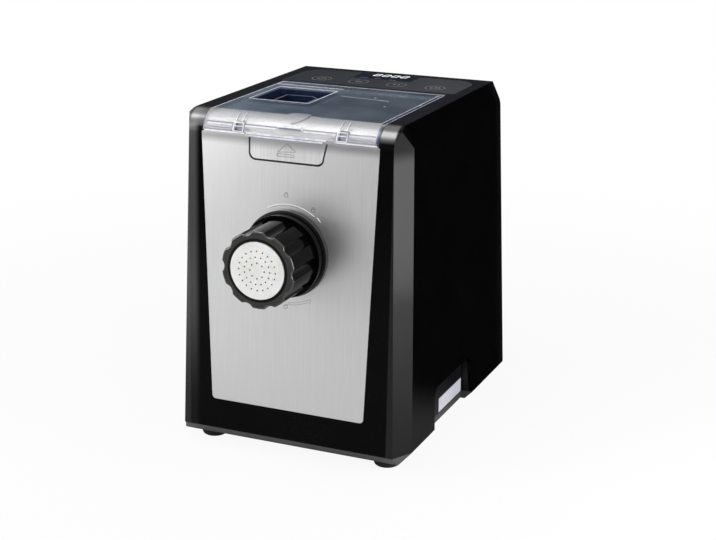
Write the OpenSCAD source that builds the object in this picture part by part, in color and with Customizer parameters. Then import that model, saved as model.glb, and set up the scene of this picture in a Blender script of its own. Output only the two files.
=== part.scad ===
// Electric pasta maker, as the separate pieces that it is put together from.
// Millimetres, +Z up. The die faces -Y, +X is to the right of someone facing it.
// The origin is on the floor, below the middle of the whole machine.
// Inside the modules y = 0 is the lower front edge of the housing; placed() shifts it.

/* [Housing] */
// Width of the housing at floor level
base_w = 210; // [204:1:230]
// Width of the housing at its top
top_w = 196.3; // [192:0.1:200]
// Depth of the housing at floor level
body_d = 252; // [248:1:275]
// Height of the top above the floor
body_h = 284; // [280:1:300]
// How far the front leans back over the height
front_lean = 10.4; // [8:0.1:13]
// How far the rear leans forward over the height
rear_lean = 17; // [12:0.5:18]
// Wall of the plastic housing
wall = 3; // [2.6:0.1:3.6]
// Front corner facet, measured across the front
facet_x = 9.7; // [8:0.1:11]
// Front corner facet, measured along the side
facet_y = 18.3; // [15:0.1:21]
// Bevel above each side, measured across the top
bevel_x = 7; // [5:0.5:9]
// Bevel above each side, measured down the side
bevel_z = 17; // [14:0.5:20]
// Radius of the bend between the front and the top
bend_r = 18; // [15:0.5:19]
// Height of the housing's lower edge above the floor
skirt_z = 17.1; // [16:0.1:19]

/* [Front panel] */
// Thickness of the brushed steel sheet
steel_t = 0.8; // [0.6:0.1:1]
// Half width of the steel at its lower edge
steel_low_x = 68.5; // [64:0.5:72]
// How far the steel stands out past the lid on each side
steel_past = 1; // [0.5:0.1:2.5]
// Height of the steel's lower edge
steel_z = 42.7; // [38:0.1:50]
// Radius of the steel's lower corners
steel_r = 3.5; // [2:0.5:6]
// How far below the top the steel steps in under the lid
step_drop = 16; // [14:0.1:18]
// Half width of the release key
key_x = 34; // [30:0.5:38]
// How far the release key's lower edge lies below the top
key_drop = 34.1; // [30:0.1:38]
// Gap round the release key
key_gap = 0.5; // [0.3:0.05:0.8]
// How far the release key is pushed in
key_travel = 3; // [2:0.5:4]

/* [Lid] */
// Thickness of the clear lid
lid_t = 2.5; // [2:0.1:2.8]
// How far the clear lid's sides stand in from the housing's
lid_inset = 21.75; // [21.55:0.05:24]
// Gap between the lid and what lies round it
lid_gap = 0.4; // [0.3:0.05:0.6]
// Distance of the lid's rear edge from the housing's rear edge
lid_rear = 90; // [88:0.5:94]
// Radius of the bead that the lid turns on
bead_r = 3.2; // [3:0.1:4]
// Radius of the lid's hinge pins
hinge_pin_r = 1.25; // [1:0.05:1.5]
// Width of the feed opening
feed_w = 52.5; // [48:0.5:54]
// Length of the feed opening
feed_l = 56; // [50:0.5:60]
// Distance of the feed opening from the lid's left edge
feed_side = 9.9; // [8:0.1:14]
// Distance of the feed opening from the lid's rear edge
feed_rear = 31; // [27:0.5:35]
// Depth of the feed opening's well
feed_depth = 17; // [14:0.5:17.5]

/* [Touch panel] */
// How far the touch panel reaches past the lid on each side
panel_past = 4.6; // [2:0.1:7]
// Distance of its rear edge from the housing's rear edge
panel_rear = 26; // [24:0.5:32]
// Thickness of the touch panel
panel_t = 2; // [1.5:0.1:2.5]
// Radius of its rear corners
panel_r = 20; // [12:1:24]

/* [Die and locking nut] */
// Height of the die's axis
shaft_z = 176.4; // [174:0.1:180]
// How far the die's face stands in front of the housing
die_reach = 47.3; // [44:0.1:52]
// Radius of the die's visible face
die_face_r = 23; // [21:0.1:23.4]
// Radius of the die's rim, which the nut holds
die_rim_r = 25.6; // [25.4:0.1:26]
// Thickness of the die's rim
die_rim_t = 3.2; // [2.5:0.1:4]
// Height of the die's boss in front of its rim
die_boss_t = 4.1; // [3.5:0.1:5]
// Radius of the holes that shape the dough
die_hole_r = 0.75; // [0.6:0.05:1]
// Radius of the nut over its lobes
nut_r = 31.3; // [30.5:0.1:33]
// Number of grip flutes round the nut
nut_flutes = 10; // [8:1:12]
// Depth of the grip flutes
flute_depth = 2.1; // [1.5:0.1:2.4]
// Radius of the nut's rear collar
collar_r = 33.8; // [33:0.1:35]
// Radius of the flange behind the nut
flange_r = 35.7; // [35:0.1:38]
// Outer radius of the barrel
barrel_r = 22; // [21:0.1:22.4]
// Bore of the barrel
barrel_bore_r = 16.6; // [16:0.1:17]

/* [Mixing chamber] */
// Inner radius of the trough
trough_r = 46; // [44:0.5:47]
// How far its inner sides stand in from the lid's at the rim
rim_inset = 8.4; // [8.4:0.1:12]
// How far its rim lies below the top
rim_drop = 19.5; // [19.5:0.1:22]
// Wall of the chamber
bowl_t = 2.5; // [2:0.1:3]
// Wall of the bay that holds the chamber
bay_t = 2.3; // [2:0.1:2.6]
// Distance of the bay's front face behind the housing's front edge
bay_y = 31.7; // [31:0.1:34]

/* [Drive] */
// Height of the motor's axis
motor_z = 72; // [70:0.5:76]
// Radius of the output shaft
shaft_r = 7; // [6:0.5:8]
// Radius of the motor's shaft and of the idler's pin
pin_r = 4; // [3.5:0.5:5]
// Running clearance of shafts in their bearings
running = 0.05; // [0.03:0.01:0.09]
// Teeth of the output gear
out_teeth = 52; // [50:1:52]
// Teeth of the idler's small wheel
low_teeth = 12; // [12:1:13]
// Module of the slow gear pair
slow_m = 2; // [1.9:0.05:2]
// Teeth of the idler's large wheel
high_teeth = 54; // [53:1:56]
// Teeth of the motor's pinion
motor_teeth = 14; // [13:1:15]
// Module of the fast gear pair
fast_m = 1.25; // [1.25:0.05:1.3]
// Width of the slow gear pair
slow_w = 16; // [12:1:16]
// Width of the fast gear pair
fast_w = 10; // [8:1:11]

/* [Base] */
// Radius of the rubber feet
foot_r = 13.5; // [12:0.5:15]
// Height of the rubber feet
foot_h = 9; // [8:0.5:10]
// Distance of the feet's middles from the sides
foot_inset = 25.1; // [23:0.1:29]
// Distance of the feet from the front and rear edges
foot_y = 26.5; // [24:0.5:30]
// Front and rear edges of the grips in the sides
grip_y = [71, 165];
// Height of the grips' upper edge
grip_z = 53; // [48:1:58]
// How far the grips' inner walls stand in from the sides
grip_depth = 9.6; // [8:0.2:11]

/* [Hidden] */
$fn = 48;

// Overlap that cutting solids have past the faces that they cut
past = 1;
// A length greater than the whole machine
whole = 400;
// Clearance between pieces that are assembled and never move
fit = 0.1;
// Clearance between faces that lie on each other
seat = 0.05;
// Clearance between pieces that move past each other
slip = 0.3;

// How far the cord grommet's flange stands behind the rear cover
grommet_reach = 3.4;

function half_w(z) = base_w / 2 - (base_w - top_w) / 2 * z / body_h;
function front_at(z) = front_lean * z / body_h;
function rear_at(z) = body_d - rear_lean * z / body_h;

cord_x = -62;
cord_z = 40;
// The machine's middle in depth, from the housing's lower front edge
middle_y = (rear_at(cord_z) + grommet_reach - die_reach) / 2;

lean_a = atan(front_lean / body_h);
bend_z = body_h - bend_r;
bend_y = front_at(bend_z) + bend_r / cos(lean_a);
bevel_from = body_h - bevel_z;
taper_a = atan((base_w - top_w) / 2 / body_h);
rail_x = top_w / 2 - bevel_x;
bevel_a = atan((half_w(bevel_from) - rail_x) / bevel_z);

module placed() { translate([0, -middle_y, 0]) children(); }

// Extrudes a (y, z) outline along X, from x0 to x1
module across(x0, x1) {
    translate([x0, 0, 0]) rotate([90, 0, 90]) linear_extrude(x1 - x0) children();
}

// Extrudes an (x, z) outline along Y, from y0 to y1
module along(y0, y1) {
    translate([0, y1, 0]) rotate([90, 0, 0]) linear_extrude(y1 - y0) children();
}

// A straight round bar along Y
module rod(r, y0, y1, x = 0, z = shaft_z, sides = 48) {
    translate([x, y1, z]) rotate([90, 0, 0]) cylinder(h = y1 - y0, r = r, $fn = sides);
}

module box(x, y, z) { translate([x[0], y[0], z[0]]) cube([x[1] - x[0], y[1] - y[0], z[1] - z[0]]); }

module both_sides() {
    children();
    mirror([1, 0, 0]) children();
}

module round_rect(w, h, r) {
    square([w - 2 * r, h], center = true);
    square([w, h - 2 * r], center = true);
    for (x = [-1, 1], y = [-1, 1]) translate([x * (w / 2 - r), y * (h / 2 - r)]) circle(r);
}

// ---- Outer form ------------------------------------------------------------

// Side view of the housing, drawn in by the depth t
module side_view(t) {
    r = bend_r - t;
    polygon([[t / cos(lean_a), 0], [body_d - t, 0], [body_d - rear_lean - t, body_h - t],
             [bend_y, body_h - t], [bend_y, bend_z],
             [bend_y - r * cos(lean_a), bend_z + r * sin(lean_a)]]);
    translate([bend_y, bend_z]) circle(r);
}

// Front view of the housing, drawn in by the depth t
module front_view(t) {
    side_t = t / cos(taper_a);
    bevel_t = t / cos(bevel_a);
    corner_z = bevel_from + (side_t - bevel_t) / (tan(bevel_a) - tan(taper_a));
    corner_x = half_w(corner_z) - side_t;
    edge_x = rail_x + t * tan(bevel_a) - bevel_t;
    polygon([[-base_w / 2 + side_t, 0], [base_w / 2 - side_t, 0], [corner_x, corner_z],
             [edge_x, body_h - t], [-edge_x, body_h - t], [-corner_x, corner_z]]);
}

// Half space on the side of the plane a, b, c that its normal points to
module beyond(a, b, c, t) {
    u = (b - a) / norm(b - a);
    n = cross(b - a, c - a) / norm(cross(b - a, c - a));
    v = cross(n, u);
    o = a - t * n;
    multmatrix([[u.x, v.x, n.x, o.x], [u.y, v.y, n.y, o.y], [u.z, v.z, n.z, o.z], [0, 0, 0, 1]])
        translate([-whole, -whole, 0]) cube([2 * whole, 2 * whole, whole]);
}

// The housing as a solid, drawn in by the depth t
module form(t) {
    difference() {
        intersection() {
            across(-base_w, base_w) side_view(t);
            along(-past, body_d + past) front_view(t);
        }
        both_sides() beyond([base_w / 2 - facet_x, 0, 0], [base_w / 2, facet_y, 0],
                            [top_w / 2 - facet_x, front_lean, body_h], t);
    }
}

// The skin of the housing between two depths
module skin(t0, t1) {
    difference() {
        form(t0);
        form(t1);
    }
}

// Everything in front of the parting line behind the corner facets
module front_zone() {
    across(-base_w, base_w)
        polygon([[-past, -past], [facet_y, 0], [facet_y + front_lean, body_h],
                 [facet_y + front_lean, body_h + past], [-past, body_h + past]]);
}

rear_return = 12;

// Everything behind the parting line of the rear cover
module rear_zone() {
    across(-base_w, base_w)
        polygon([[body_d - rear_return, 0], [body_d + past, 0], [body_d + past, body_h],
                 [body_d - rear_return - rear_lean, body_h]]);
}

// The flat top between the two bevels
module deck_zone() { box([-rail_x, rail_x], [-past, body_d], [body_h - wall, body_h + past]); }

module above_skirt() { box([-base_w, base_w], [-past, body_d + past], [skirt_z, body_h + past]); }

// ---- Sizes that follow from those above ---------------------------------------

lid_x = top_w / 2 - lid_inset;
lid_y = body_d - lid_rear;
feed_x = [feed_side - lid_x, feed_side - lid_x + feed_w];
feed_y = [lid_y - feed_rear - feed_l, lid_y - feed_rear];
step_z = body_h - step_drop;
key_z = body_h - key_drop;
rim_x = lid_x - rim_inset;
rim_z = body_h - rim_drop;
panel_x = lid_x + panel_past;
panel_end_y = body_d - panel_rear;
foot_x = base_w / 2 - foot_inset;
steel_top_x = lid_x + steel_past;
lid_skirt_z = step_z + 1.5;
steel_top_t = lid_t + lid_gap;
frame_top_t = steel_top_t + steel_t;
frame_in_t = frame_top_t + 2.3;
steel_out_t = 0.3;
frame_out_t = steel_out_t + steel_t;
strip_y = bay_y + bay_t;
pocket_x = lid_x + lid_gap;
front_z0 = step_z - 7;
barrel_y = die_reach - die_rim_t - die_boss_t;

// Sheet outline of the steel panel, grown by g on its sides and lower edge; upright from the bend on
module steel_outline(g) {
    low = steel_low_x + g;
    top = steel_top_x + g;
    slope = (top - low) / (bend_z - steel_z);
    r = steel_r;
    z0 = steel_z - g;
    c = low - r / cos(atan(slope)) + slope * (r + g);
    polygon([[-c, z0], [c, z0], [c + r * cos(atan(slope)), z0 + r - r * sin(atan(slope))],
             [top, bend_z], [top, step_z + fit], [-top, step_z + fit], [-top, bend_z],
             [-c - r * cos(atan(slope)), z0 + r - r * sin(atan(slope))]]);
    for (s = [-1, 1]) translate([s * c, z0 + r]) circle(r);
}

// Outline of the release key, grown by g
module key_outline(g) {
    r = 5;
    top_z = step_z - 0.7;
    x = key_x + g;
    z0 = key_z - g;
    translate([-x + r, z0]) square([2 * (x - r), r]);
    translate([-x, z0 + r]) square([2 * x, top_z + g - z0 - r]);
    for (s = [-1, 1]) translate([s * (x - r), z0 + r]) circle(r);
}

latch_x = 45;
latch_w = 6;
latch_z = [step_z + 2.6, step_z + 8.4];

// Slots in the steel and the frame that the catches reach the lid through
module latch_slots() {
    both_sides() box([latch_x - latch_w / 2 - 1, latch_x + latch_w / 2 + 1], [-past, bend_y],
                     [latch_z[0] - 1, latch_z[1] + 1]);
}

// ---- Front -------------------------------------------------------------------

module front_frame() {
    color([0.05, 0.05, 0.055]) placed() difference() {
        union() {
            intersection() {
                skin(0, wall);
                front_zone();
                above_skirt();
            }
            intersection() {
                skin(wall - past, frame_in_t);
                front_zone();
                box([-pocket_x - 2, pocket_x + 2], [-past, strip_y], [front_z0, body_h]);
            }
            intersection() {
                skin(wall - past, frame_in_t);
                box([-pocket_x, pocket_x], [-past, strip_y], [front_z0, body_h]);
            }
            both_sides() intersection() {
                skin(0, frame_in_t);
                front_zone();
                box([pocket_x, pocket_x + 2], [-past, strip_y], [front_z0, body_h]);
            }
        }
        // pocket under the lid, and the seat of the steel panel below it
        difference() {
            box([-pocket_x, pocket_x], [-past, strip_y + past], [step_z, body_h + past]);
            form(frame_top_t + seat);
        }
        difference() {
            along(-past, bend_y) steel_outline(fit);
            form(frame_out_t + seat);
        }
        along(-past, bend_y) key_outline(key_gap);
        latch_slots();
        rod(barrel_r + slip, -past, strip_y);
    }
}

module steel_panel() {
    color([0.72, 0.72, 0.73]) placed() difference() {
        union() {
            intersection() {
                skin(steel_out_t, frame_out_t);
                along(-past, bend_y) steel_outline(0);
                box([-base_w, base_w], [-past, bend_y], [0, step_z + steel_t]);
            }
            intersection() {
                skin(steel_out_t, frame_top_t);
                box([-lid_x, lid_x], [-past, bend_y], [step_z, step_z + steel_t]);
            }
            intersection() {
                skin(steel_top_t, frame_top_t);
                union() {
                    box([-lid_x, lid_x], [-past, bend_y - 2.4], [step_z, body_h]);
                    steel_tab();
                }
            }
        }
        along(-past, bend_y) key_outline(key_gap);
        latch_slots();
        rod(barrel_r + slip, -past, strip_y);
    }
}

// Rounded tab on the steel's rear edge, in the middle of the machine
module steel_tab() {
    tab_x = [-15, 12];
    tab_y = 33;
    r = 6;
    translate([0, 0, step_z]) linear_extrude(body_h - step_z) {
        translate([tab_x[0], 0]) square([tab_x[1] - tab_x[0], tab_y - r]);
        translate([tab_x[0] + r, 0]) square([tab_x[1] - tab_x[0] - 2 * r, tab_y]);
        for (x = [tab_x[0] + r, tab_x[1] - r]) translate([x, tab_y - r]) circle(r);
    }
}

// ---- Release key, its slider with the two catches, and the springs ---------------

slider_out_t = wall + slip;
slider_in_t = slider_out_t + 2.5;
arm_out_t = frame_in_t + slip;
arm_in_t = arm_out_t + 3;
slider_z = [key_z + 2.5, key_z + 10.5];
slider_x = 48.5;
key_face_t = 2.4;

module release_key() {
    color([0.70, 0.70, 0.71]) placed() intersection() {
        skin(steel_out_t, key_face_t);
        along(-past, bend_y) key_outline(0);
    }
}

module latch_slider() {
    color([0.25, 0.25, 0.27]) placed() union() {
        intersection() {
            skin(slider_out_t, slider_in_t);
            box([-slider_x, slider_x], [-past, bend_y], slider_z);
        }
        intersection() {
            skin(key_face_t, slider_in_t);
            box([-key_x + 4, key_x - 4], [-past, bend_y], slider_z);
        }
        both_sides() {
            intersection() {
                skin(slider_out_t, arm_in_t);
                box([latch_x - latch_w / 2, latch_x + latch_w / 2], [-past, bend_y], slider_z);
            }
            intersection() {
                skin(arm_out_t, arm_in_t);
                box([latch_x - latch_w / 2, latch_x + latch_w / 2], [-past, bend_y - 4],
                    [slider_z[0], latch_z[1]]);
            }
            intersection() {
                skin(steel_top_t, arm_in_t);
                box([latch_x - latch_w / 2, latch_x + latch_w / 2], [-past, bend_y - 4], latch_z);
            }
        }
    }
}

spring_x = 22;
spring_z = key_z + 6.5;
spring_r = 3.6;
spring_wire = 0.45;
spring_turns = 5;
spring_from = front_at(spring_z) + slider_in_t + spring_wire + 0.3;
spring_to = bay_y - spring_wire - 0.1;
spring_steps = 14;
spring_sides = 6;

// One compression spring: a round wire swept along a helix
module spring() {
    n = spring_turns * spring_steps;
    ring = [for (i = [0 : n], k = [0 : spring_sides - 1])
        let (a = 360 * i / spring_steps, b = 360 * k / spring_sides,
             r = spring_r + spring_wire * cos(b))
        [r * cos(a), spring_from + (spring_to - spring_from) * i / n + spring_wire * sin(b),
         r * sin(a)]];
    sides = [for (i = [0 : n - 1], k = [0 : spring_sides - 1])
        let (k2 = (k + 1) % spring_sides)
        [i * spring_sides + k, i * spring_sides + k2, (i + 1) * spring_sides + k2,
         (i + 1) * spring_sides + k]];
    caps = [[for (k = [spring_sides - 1 : -1 : 0]) k],
            [for (k = [0 : spring_sides - 1]) n * spring_sides + k]];
    polyhedron(ring, concat(sides, caps));
}

module key_springs() {
    color([0.75, 0.75, 0.78]) placed() both_sides() translate([spring_x, 0, spring_z]) spring();
}

// ---- Sides, rear and top ---------------------------------------------------------

grip_r = 10;

// Side view of a grip, grown by g
module grip_outline(g) {
    y0 = grip_y[0] - g;
    y1 = grip_y[1] + g;
    z1 = grip_z + g;
    polygon([[y0, 0], [y1, 0], [y1, skirt_z], [y1 - grip_r + 2, z1], [y0 + grip_r, z1],
             [y0, z1 - grip_r]]);
    translate([y0 + grip_r, z1 - grip_r]) circle(grip_r);
}

boss_r = 4.5;
screw_r = 1.9;
boss_z = [40, body_h - 48];
function boss_x(z) = half_w(z) - wall - boss_r + 0.8;

module boss_bars() {
    for (z = boss_z) rod(boss_r, rear_at(z) - 32, rear_at(z) - wall - slip, boss_x(z), z);
}

module side_panel() {
    difference() {
        union() {
            difference() {
                intersection() {
                    skin(0, wall);
                    above_skirt();
                    box([0, base_w], [-past, body_d + past], [0, body_h + past]);
                }
                front_zone();
                rear_zone();
                deck_zone();
            }
            intersection() {
                boss_bars();
                form(wall);
            }
            difference() {
                intersection() {
                    boss_bars();
                    form(wall - past / 2);
                }
                rear_zone();
            }
        }
        across(0, base_w) grip_outline(0);
        for (z = boss_z) rod(screw_r, rear_at(z) - 26, body_d, boss_x(z), z);
    }
}

module right_side_panel() { color([0.03, 0.03, 0.035]) placed() side_panel(); }

module left_side_panel() { color([0.03, 0.03, 0.035]) placed() mirror([1, 0, 0]) side_panel(); }

slot_w = 3;
slot_h = 46;
slot_n = 12;
slot_step = 8;
slot_z = [60, 150];
cord_r = 3.6;
cord_neck_r = 7;

module rear_cover() {
    color([0.05, 0.05, 0.055]) placed() difference() {
        intersection() {
            skin(0, wall);
            above_skirt();
            rear_zone();
        }
        deck_zone();
        for (i = [0 : slot_n - 1], z = slot_z)
            box([(i - (slot_n - 1) / 2) * slot_step - slot_w / 2,
                 (i - (slot_n - 1) / 2) * slot_step + slot_w / 2],
                [body_d - rear_lean - 2 * wall, body_d + past], [z, z + slot_h]);
        rod(cord_neck_r + fit, body_d - rear_lean - wall, body_d + past, cord_x, cord_z);
        both_sides() for (z = boss_z) {
            rod(screw_r + fit, rear_at(z) - wall - past, body_d + past, boss_x(z), z);
        }
    }
}

screw_head_r = 3.4;
screw_head_t = 2;

module cover_screws() {
    color([0.3, 0.3, 0.32]) placed() both_sides() for (z = boss_z) {
        rod(screw_r, rear_at(z) - 22, rear_at(z) + 0.4, boss_x(z), z);
        rod(screw_head_r, rear_at(z) + 0.3, rear_at(z) + 0.3 + screw_head_t, boss_x(z), z);
    }
}

panel_y = lid_y + 1;
display_x = [-30, 28];
display_y = [panel_end_y - 26, panel_end_y - 4];
bead_y = lid_y - bead_r;
bead_z = body_h - bead_r;
ear_x = [pocket_x + bay_t + slip, pocket_x + bay_t + 8];

// Plan view of the touch panel, grown by g
module panel_outline(g) {
    x = panel_x + g;
    y1 = panel_end_y + g;
    translate([-x, panel_y - g]) square([2 * x, y1 - panel_r - panel_y + g]);
    translate([-x + panel_r, panel_y - g]) square([2 * (x - panel_r), y1 - panel_y + g]);
    for (s = [-1, 1]) translate([s * (x - panel_r), y1 - panel_r]) circle(panel_r);
}

// Lower face of the plate that backs the touch panel
deck_low = body_h - wall - 2;

module top_deck() {
    color([0.05, 0.05, 0.055]) placed() difference() {
        union() {
            difference() {
                intersection() {
                    skin(0, wall);
                    deck_zone();
                }
                front_zone();
                box([-pocket_x, pocket_x], [0, panel_y - lid_gap], [0, whole]);
            }
            box([-panel_x - 4, panel_x + 4], [lid_y + bay_t + 2 * lid_gap, panel_end_y + 4],
                [deck_low, body_h - wall + past / 2]);
            both_sides() box(ear_x, [bead_y - 5, bead_y + 5], [bead_z - 6, body_h - wall + past / 2]);
        }
        translate([0, 0, body_h - panel_t]) linear_extrude(panel_t + past) panel_outline(fit);
        box(display_x, display_y, [deck_low - past, body_h + past]);
        both_sides() across(0, ear_x[1] + past) translate([bead_y, bead_z]) circle(hinge_pin_r + 0.02);
    }
}

module touch_panel() {
    color([0.07, 0.08, 0.10]) placed()
        translate([0, 0, body_h - panel_t]) linear_extrude(panel_t) panel_outline(0);
}

board_z = deck_low - 6.4;
board_t = 1.6;
board_x = panel_x - 15;
board_y = [panel_y + 9, panel_end_y];

module display_block() {
    color([0.12, 0.12, 0.13]) placed()
        box([display_x[0] + slip, display_x[1] - slip], [display_y[0] + slip, display_y[1] - slip],
            [board_z, body_h - panel_t - slip]);
}

pad_x = [-51, -15.3, 20.6, 56.5];
pad_y = panel_y + 19.7;
pad_r = 9;

module control_board() {
    color([0.10, 0.35, 0.16]) placed() union() {
        box([-board_x, board_x], board_y, [board_z - board_t, board_z]);
        // a processor, a row of drivers and a buzzer on the lower face
        box([-38, -22], [board_y[0] + 32, board_y[0] + 44], [board_z - board_t - 2, board_z - board_t]);
        box([-8, 12], [board_y[0] + 18, board_y[0] + 28], [board_z - board_t - 4, board_z - board_t]);
        box([30, 44], [board_y[0] + 28, board_y[0] + 42], [board_z - board_t - 7, board_z - board_t]);
        for (x = [-board_x + 4, board_x - 4], y = [board_y[0] + 26, board_y[1] - 4])
            translate([x, y, board_z]) cylinder(h = deck_low - board_z, r = 3);
    }
}

module touch_pads() {
    color([0.2, 0.2, 0.2]) placed() for (x = pad_x)
        translate([x, pad_y, board_z]) cylinder(h = deck_low - board_z, r = pad_r);
}

// ---- Mixing chamber and the bay it stands in -----------------------------------------

bay_gap = 1;
ledge_z = rim_z - bowl_t;

// Front view of the trough with its sides, grown by t, open up to the height z1
module trough_view(t, z1) {
    r = trough_r + t;
    x = rim_x + t;
    h = rim_z - shaft_z;
    reach = norm([x, h]);
    a = atan2(h, x) - acos(r / reach);
    grow = (z1 - rim_z) * tan(-a);
    polygon([[-r * cos(a), shaft_z + r * sin(a)], [0, shaft_z], [r * cos(a), shaft_z + r * sin(a)],
             [x + grow, z1], [-x - grow, z1]]);
    translate([0, shaft_z]) circle(r, $fn = 96);
}

bay_in_y = [strip_y, lid_y + lid_gap];
bay_out_y = [bay_y, lid_y + lid_gap + bay_t];
bowl_y = [bay_in_y[0] + 0.5, bay_in_y[1] - 0.5];
seal_r = 12;

module chamber_bay() {
    inner_t = bowl_t + bay_gap;
    color([0.10, 0.10, 0.11]) placed() difference() {
        union() {
            along(bay_out_y[0], bay_out_y[1]) trough_view(inner_t + bay_t, ledge_z);
            box([-pocket_x - bay_t, pocket_x + bay_t], bay_out_y,
                [ledge_z - bay_t, body_h - frame_in_t]);
            both_sides() box([pocket_x, pocket_x + bay_t], [strip_y, bay_out_y[1]],
                             [ledge_z - bay_t, body_h - wall]);
            both_sides() rod(2.6, bay_y - 3, bay_y + past, spring_x, spring_z);
        }
        along(bay_in_y[0], bay_in_y[1]) trough_view(inner_t, ledge_z + past);
        box([-pocket_x, pocket_x], bay_in_y, [ledge_z, body_h]);
        rod(barrel_r + slip, bay_y - past, strip_y + past);
        rod(seal_r, bay_in_y[1] - past, bay_out_y[1] + past);
        both_sides() across(pocket_x - past, pocket_x + bay_t + past) {
            translate([bead_y, bead_z]) circle(hinge_pin_r + 0.02);
        }
    }
}

journal_r = 9.2;

module mixing_chamber() {
    color([0.55, 0.58, 0.62, 0.6]) placed() difference() {
        union() {
            along(bowl_y[0], bowl_y[1]) trough_view(bowl_t, rim_z);
            box([-lid_x, lid_x], bowl_y, [ledge_z, rim_z]);
        }
        along(bowl_y[0] + bowl_t, bowl_y[1] - bowl_t) trough_view(0, rim_z + past);
        rod(barrel_r + fit, bowl_y[0] - past, bowl_y[0] + bowl_t + past);
        rod(journal_r + running, bowl_y[1] - bowl_t - past, bowl_y[1] + past);
    }
}

lug_n = 3;
lug_a = 44;
lug_t = 4;
barrel_lug_y = -12;
nut_lug_y = barrel_lug_y + lug_t + 0.4;
nut_in_r = die_rim_r + 0.4;

// A ring segment of the width lug_a, centred on the angle a
module lug(r0, r1, y0, a) {
    half = lug_a / 2;
    far = r1 * 1.2;
    translate([0, y0 + lug_t, shaft_z]) rotate([90, 0, 0]) rotate([0, 0, a])
        linear_extrude(lug_t) intersection() {
            difference() {
                circle(r1);
                circle(r0);
            }
            polygon([[0, 0], [far * cos(half), -far * sin(half)], [far * cos(half), far * sin(half)]]);
        }
}

module extrusion_barrel() {
    color([0.12, 0.12, 0.13]) placed() difference() {
        union() {
            rod(barrel_r, -barrel_y, bowl_y[0] + bowl_t);
            difference() {
                rod(flange_r, 2.5, bend_y);
                form(steel_out_t);
            }
            for (i = [0 : lug_n - 1])
                lug(barrel_r - past, nut_in_r - slip, barrel_lug_y, 90 + i * 360 / lug_n);
        }
        rod(barrel_bore_r, -barrel_y - past, bowl_y[0] + bowl_t + past);
    }
}

module shaft_seal() {
    color([0.35, 0.12, 0.10]) placed() difference() {
        rod(seal_r, bay_in_y[1], bay_out_y[1]);
        rod(shaft_r + running, bay_in_y[1] - past, bay_out_y[1] + past);
    }
}

// ---- Die and nut -------------------------------------------------------------------------

die_rings = [[8, 6.2], [15, 11], [20, 15.7]];

module die_disc() {
    y0 = -die_reach;
    y1 = y0 + die_boss_t;
    color([0.92, 0.92, 0.88]) placed() difference() {
        union() {
            rod(die_face_r, y0, y1 + past);
            rod(die_rim_r, y1, y1 + die_rim_t - fit / 2);
        }
        for (ring = die_rings, i = [0 : ring[0] - 1])
            rod(die_hole_r, y0 - past, 0, ring[1] * cos(i * 360 / ring[0]),
                shaft_z + ring[1] * sin(i * 360 / ring[0]), 16);
    }
}

nut_front_y = -die_reach + 0.8;
nut_back_y = 1.5;
collar_t = 8;
flute_r = 6.65;
nut_lip_y = -die_reach + die_boss_t - 0.3;
nut_lug_r = barrel_r + 0.5;

module locking_nut() {
    color([0.06, 0.06, 0.065]) placed() difference() {
        union() {
            difference() {
                rod(nut_r, nut_front_y, nut_back_y, sides = 96);
                for (i = [0 : nut_flutes - 1])
                    rod(flute_r, nut_front_y - past, nut_back_y - collar_t,
                        (nut_r - flute_depth + flute_r) * cos(i * 360 / nut_flutes),
                        shaft_z + (nut_r - flute_depth + flute_r) * sin(i * 360 / nut_flutes));
            }
            rod(collar_r, nut_back_y - collar_t, nut_back_y, sides = 96);
        }
        rod(die_face_r + 0.4, nut_front_y - past, 0);
        difference() {
            rod(nut_in_r, nut_lip_y, nut_back_y + past);
            for (i = [0 : lug_n - 1])
                lug(nut_lug_r, nut_in_r + past, nut_lug_y, 30 + i * 360 / lug_n);
        }
    }
}

// ---- Lid ------------------------------------------------------------------------------------

lid_side_z = body_h - 12;
hinge_reach = 10;
tab_x = 38;
tab_z = [step_z + 0.2, step_z + 3.6];
tab_reach = 4.5;
boss_mark_x = 10;
boss_mark_z = [body_h - 8, body_h - 5.5];
feed_t = 2;
feed_z = body_h - feed_depth;
feed_lip = 8;

// Solid of the feed opening, grown by g, from z0 up to z1
module feed_box(g, z0, z1) {
    box([feed_x[0] - g, feed_x[1] + g], [feed_y[0] - g, feed_y[1] + g], [z0, z1]);
}

// Ledge for the fingers on the lid's front, down to z0 and in to the depth t
module finger_tab(t, z0) {
    y = front_at(step_z) - tab_reach;
    intersection() {
        difference() {
            translate([0, -tab_reach, 0]) form(0);
            form(t);
        }
        box([-tab_x, tab_x], [-whole, bend_y], [z0, tab_z[1]]);
        linear_extrude(body_h)
            polygon([[-tab_x, bend_y], [-tab_x, y + 4], [-tab_x + 5, y - 1], [tab_x - 5, y - 1],
                     [tab_x, y + 4], [tab_x, bend_y]]);
    }
}

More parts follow.
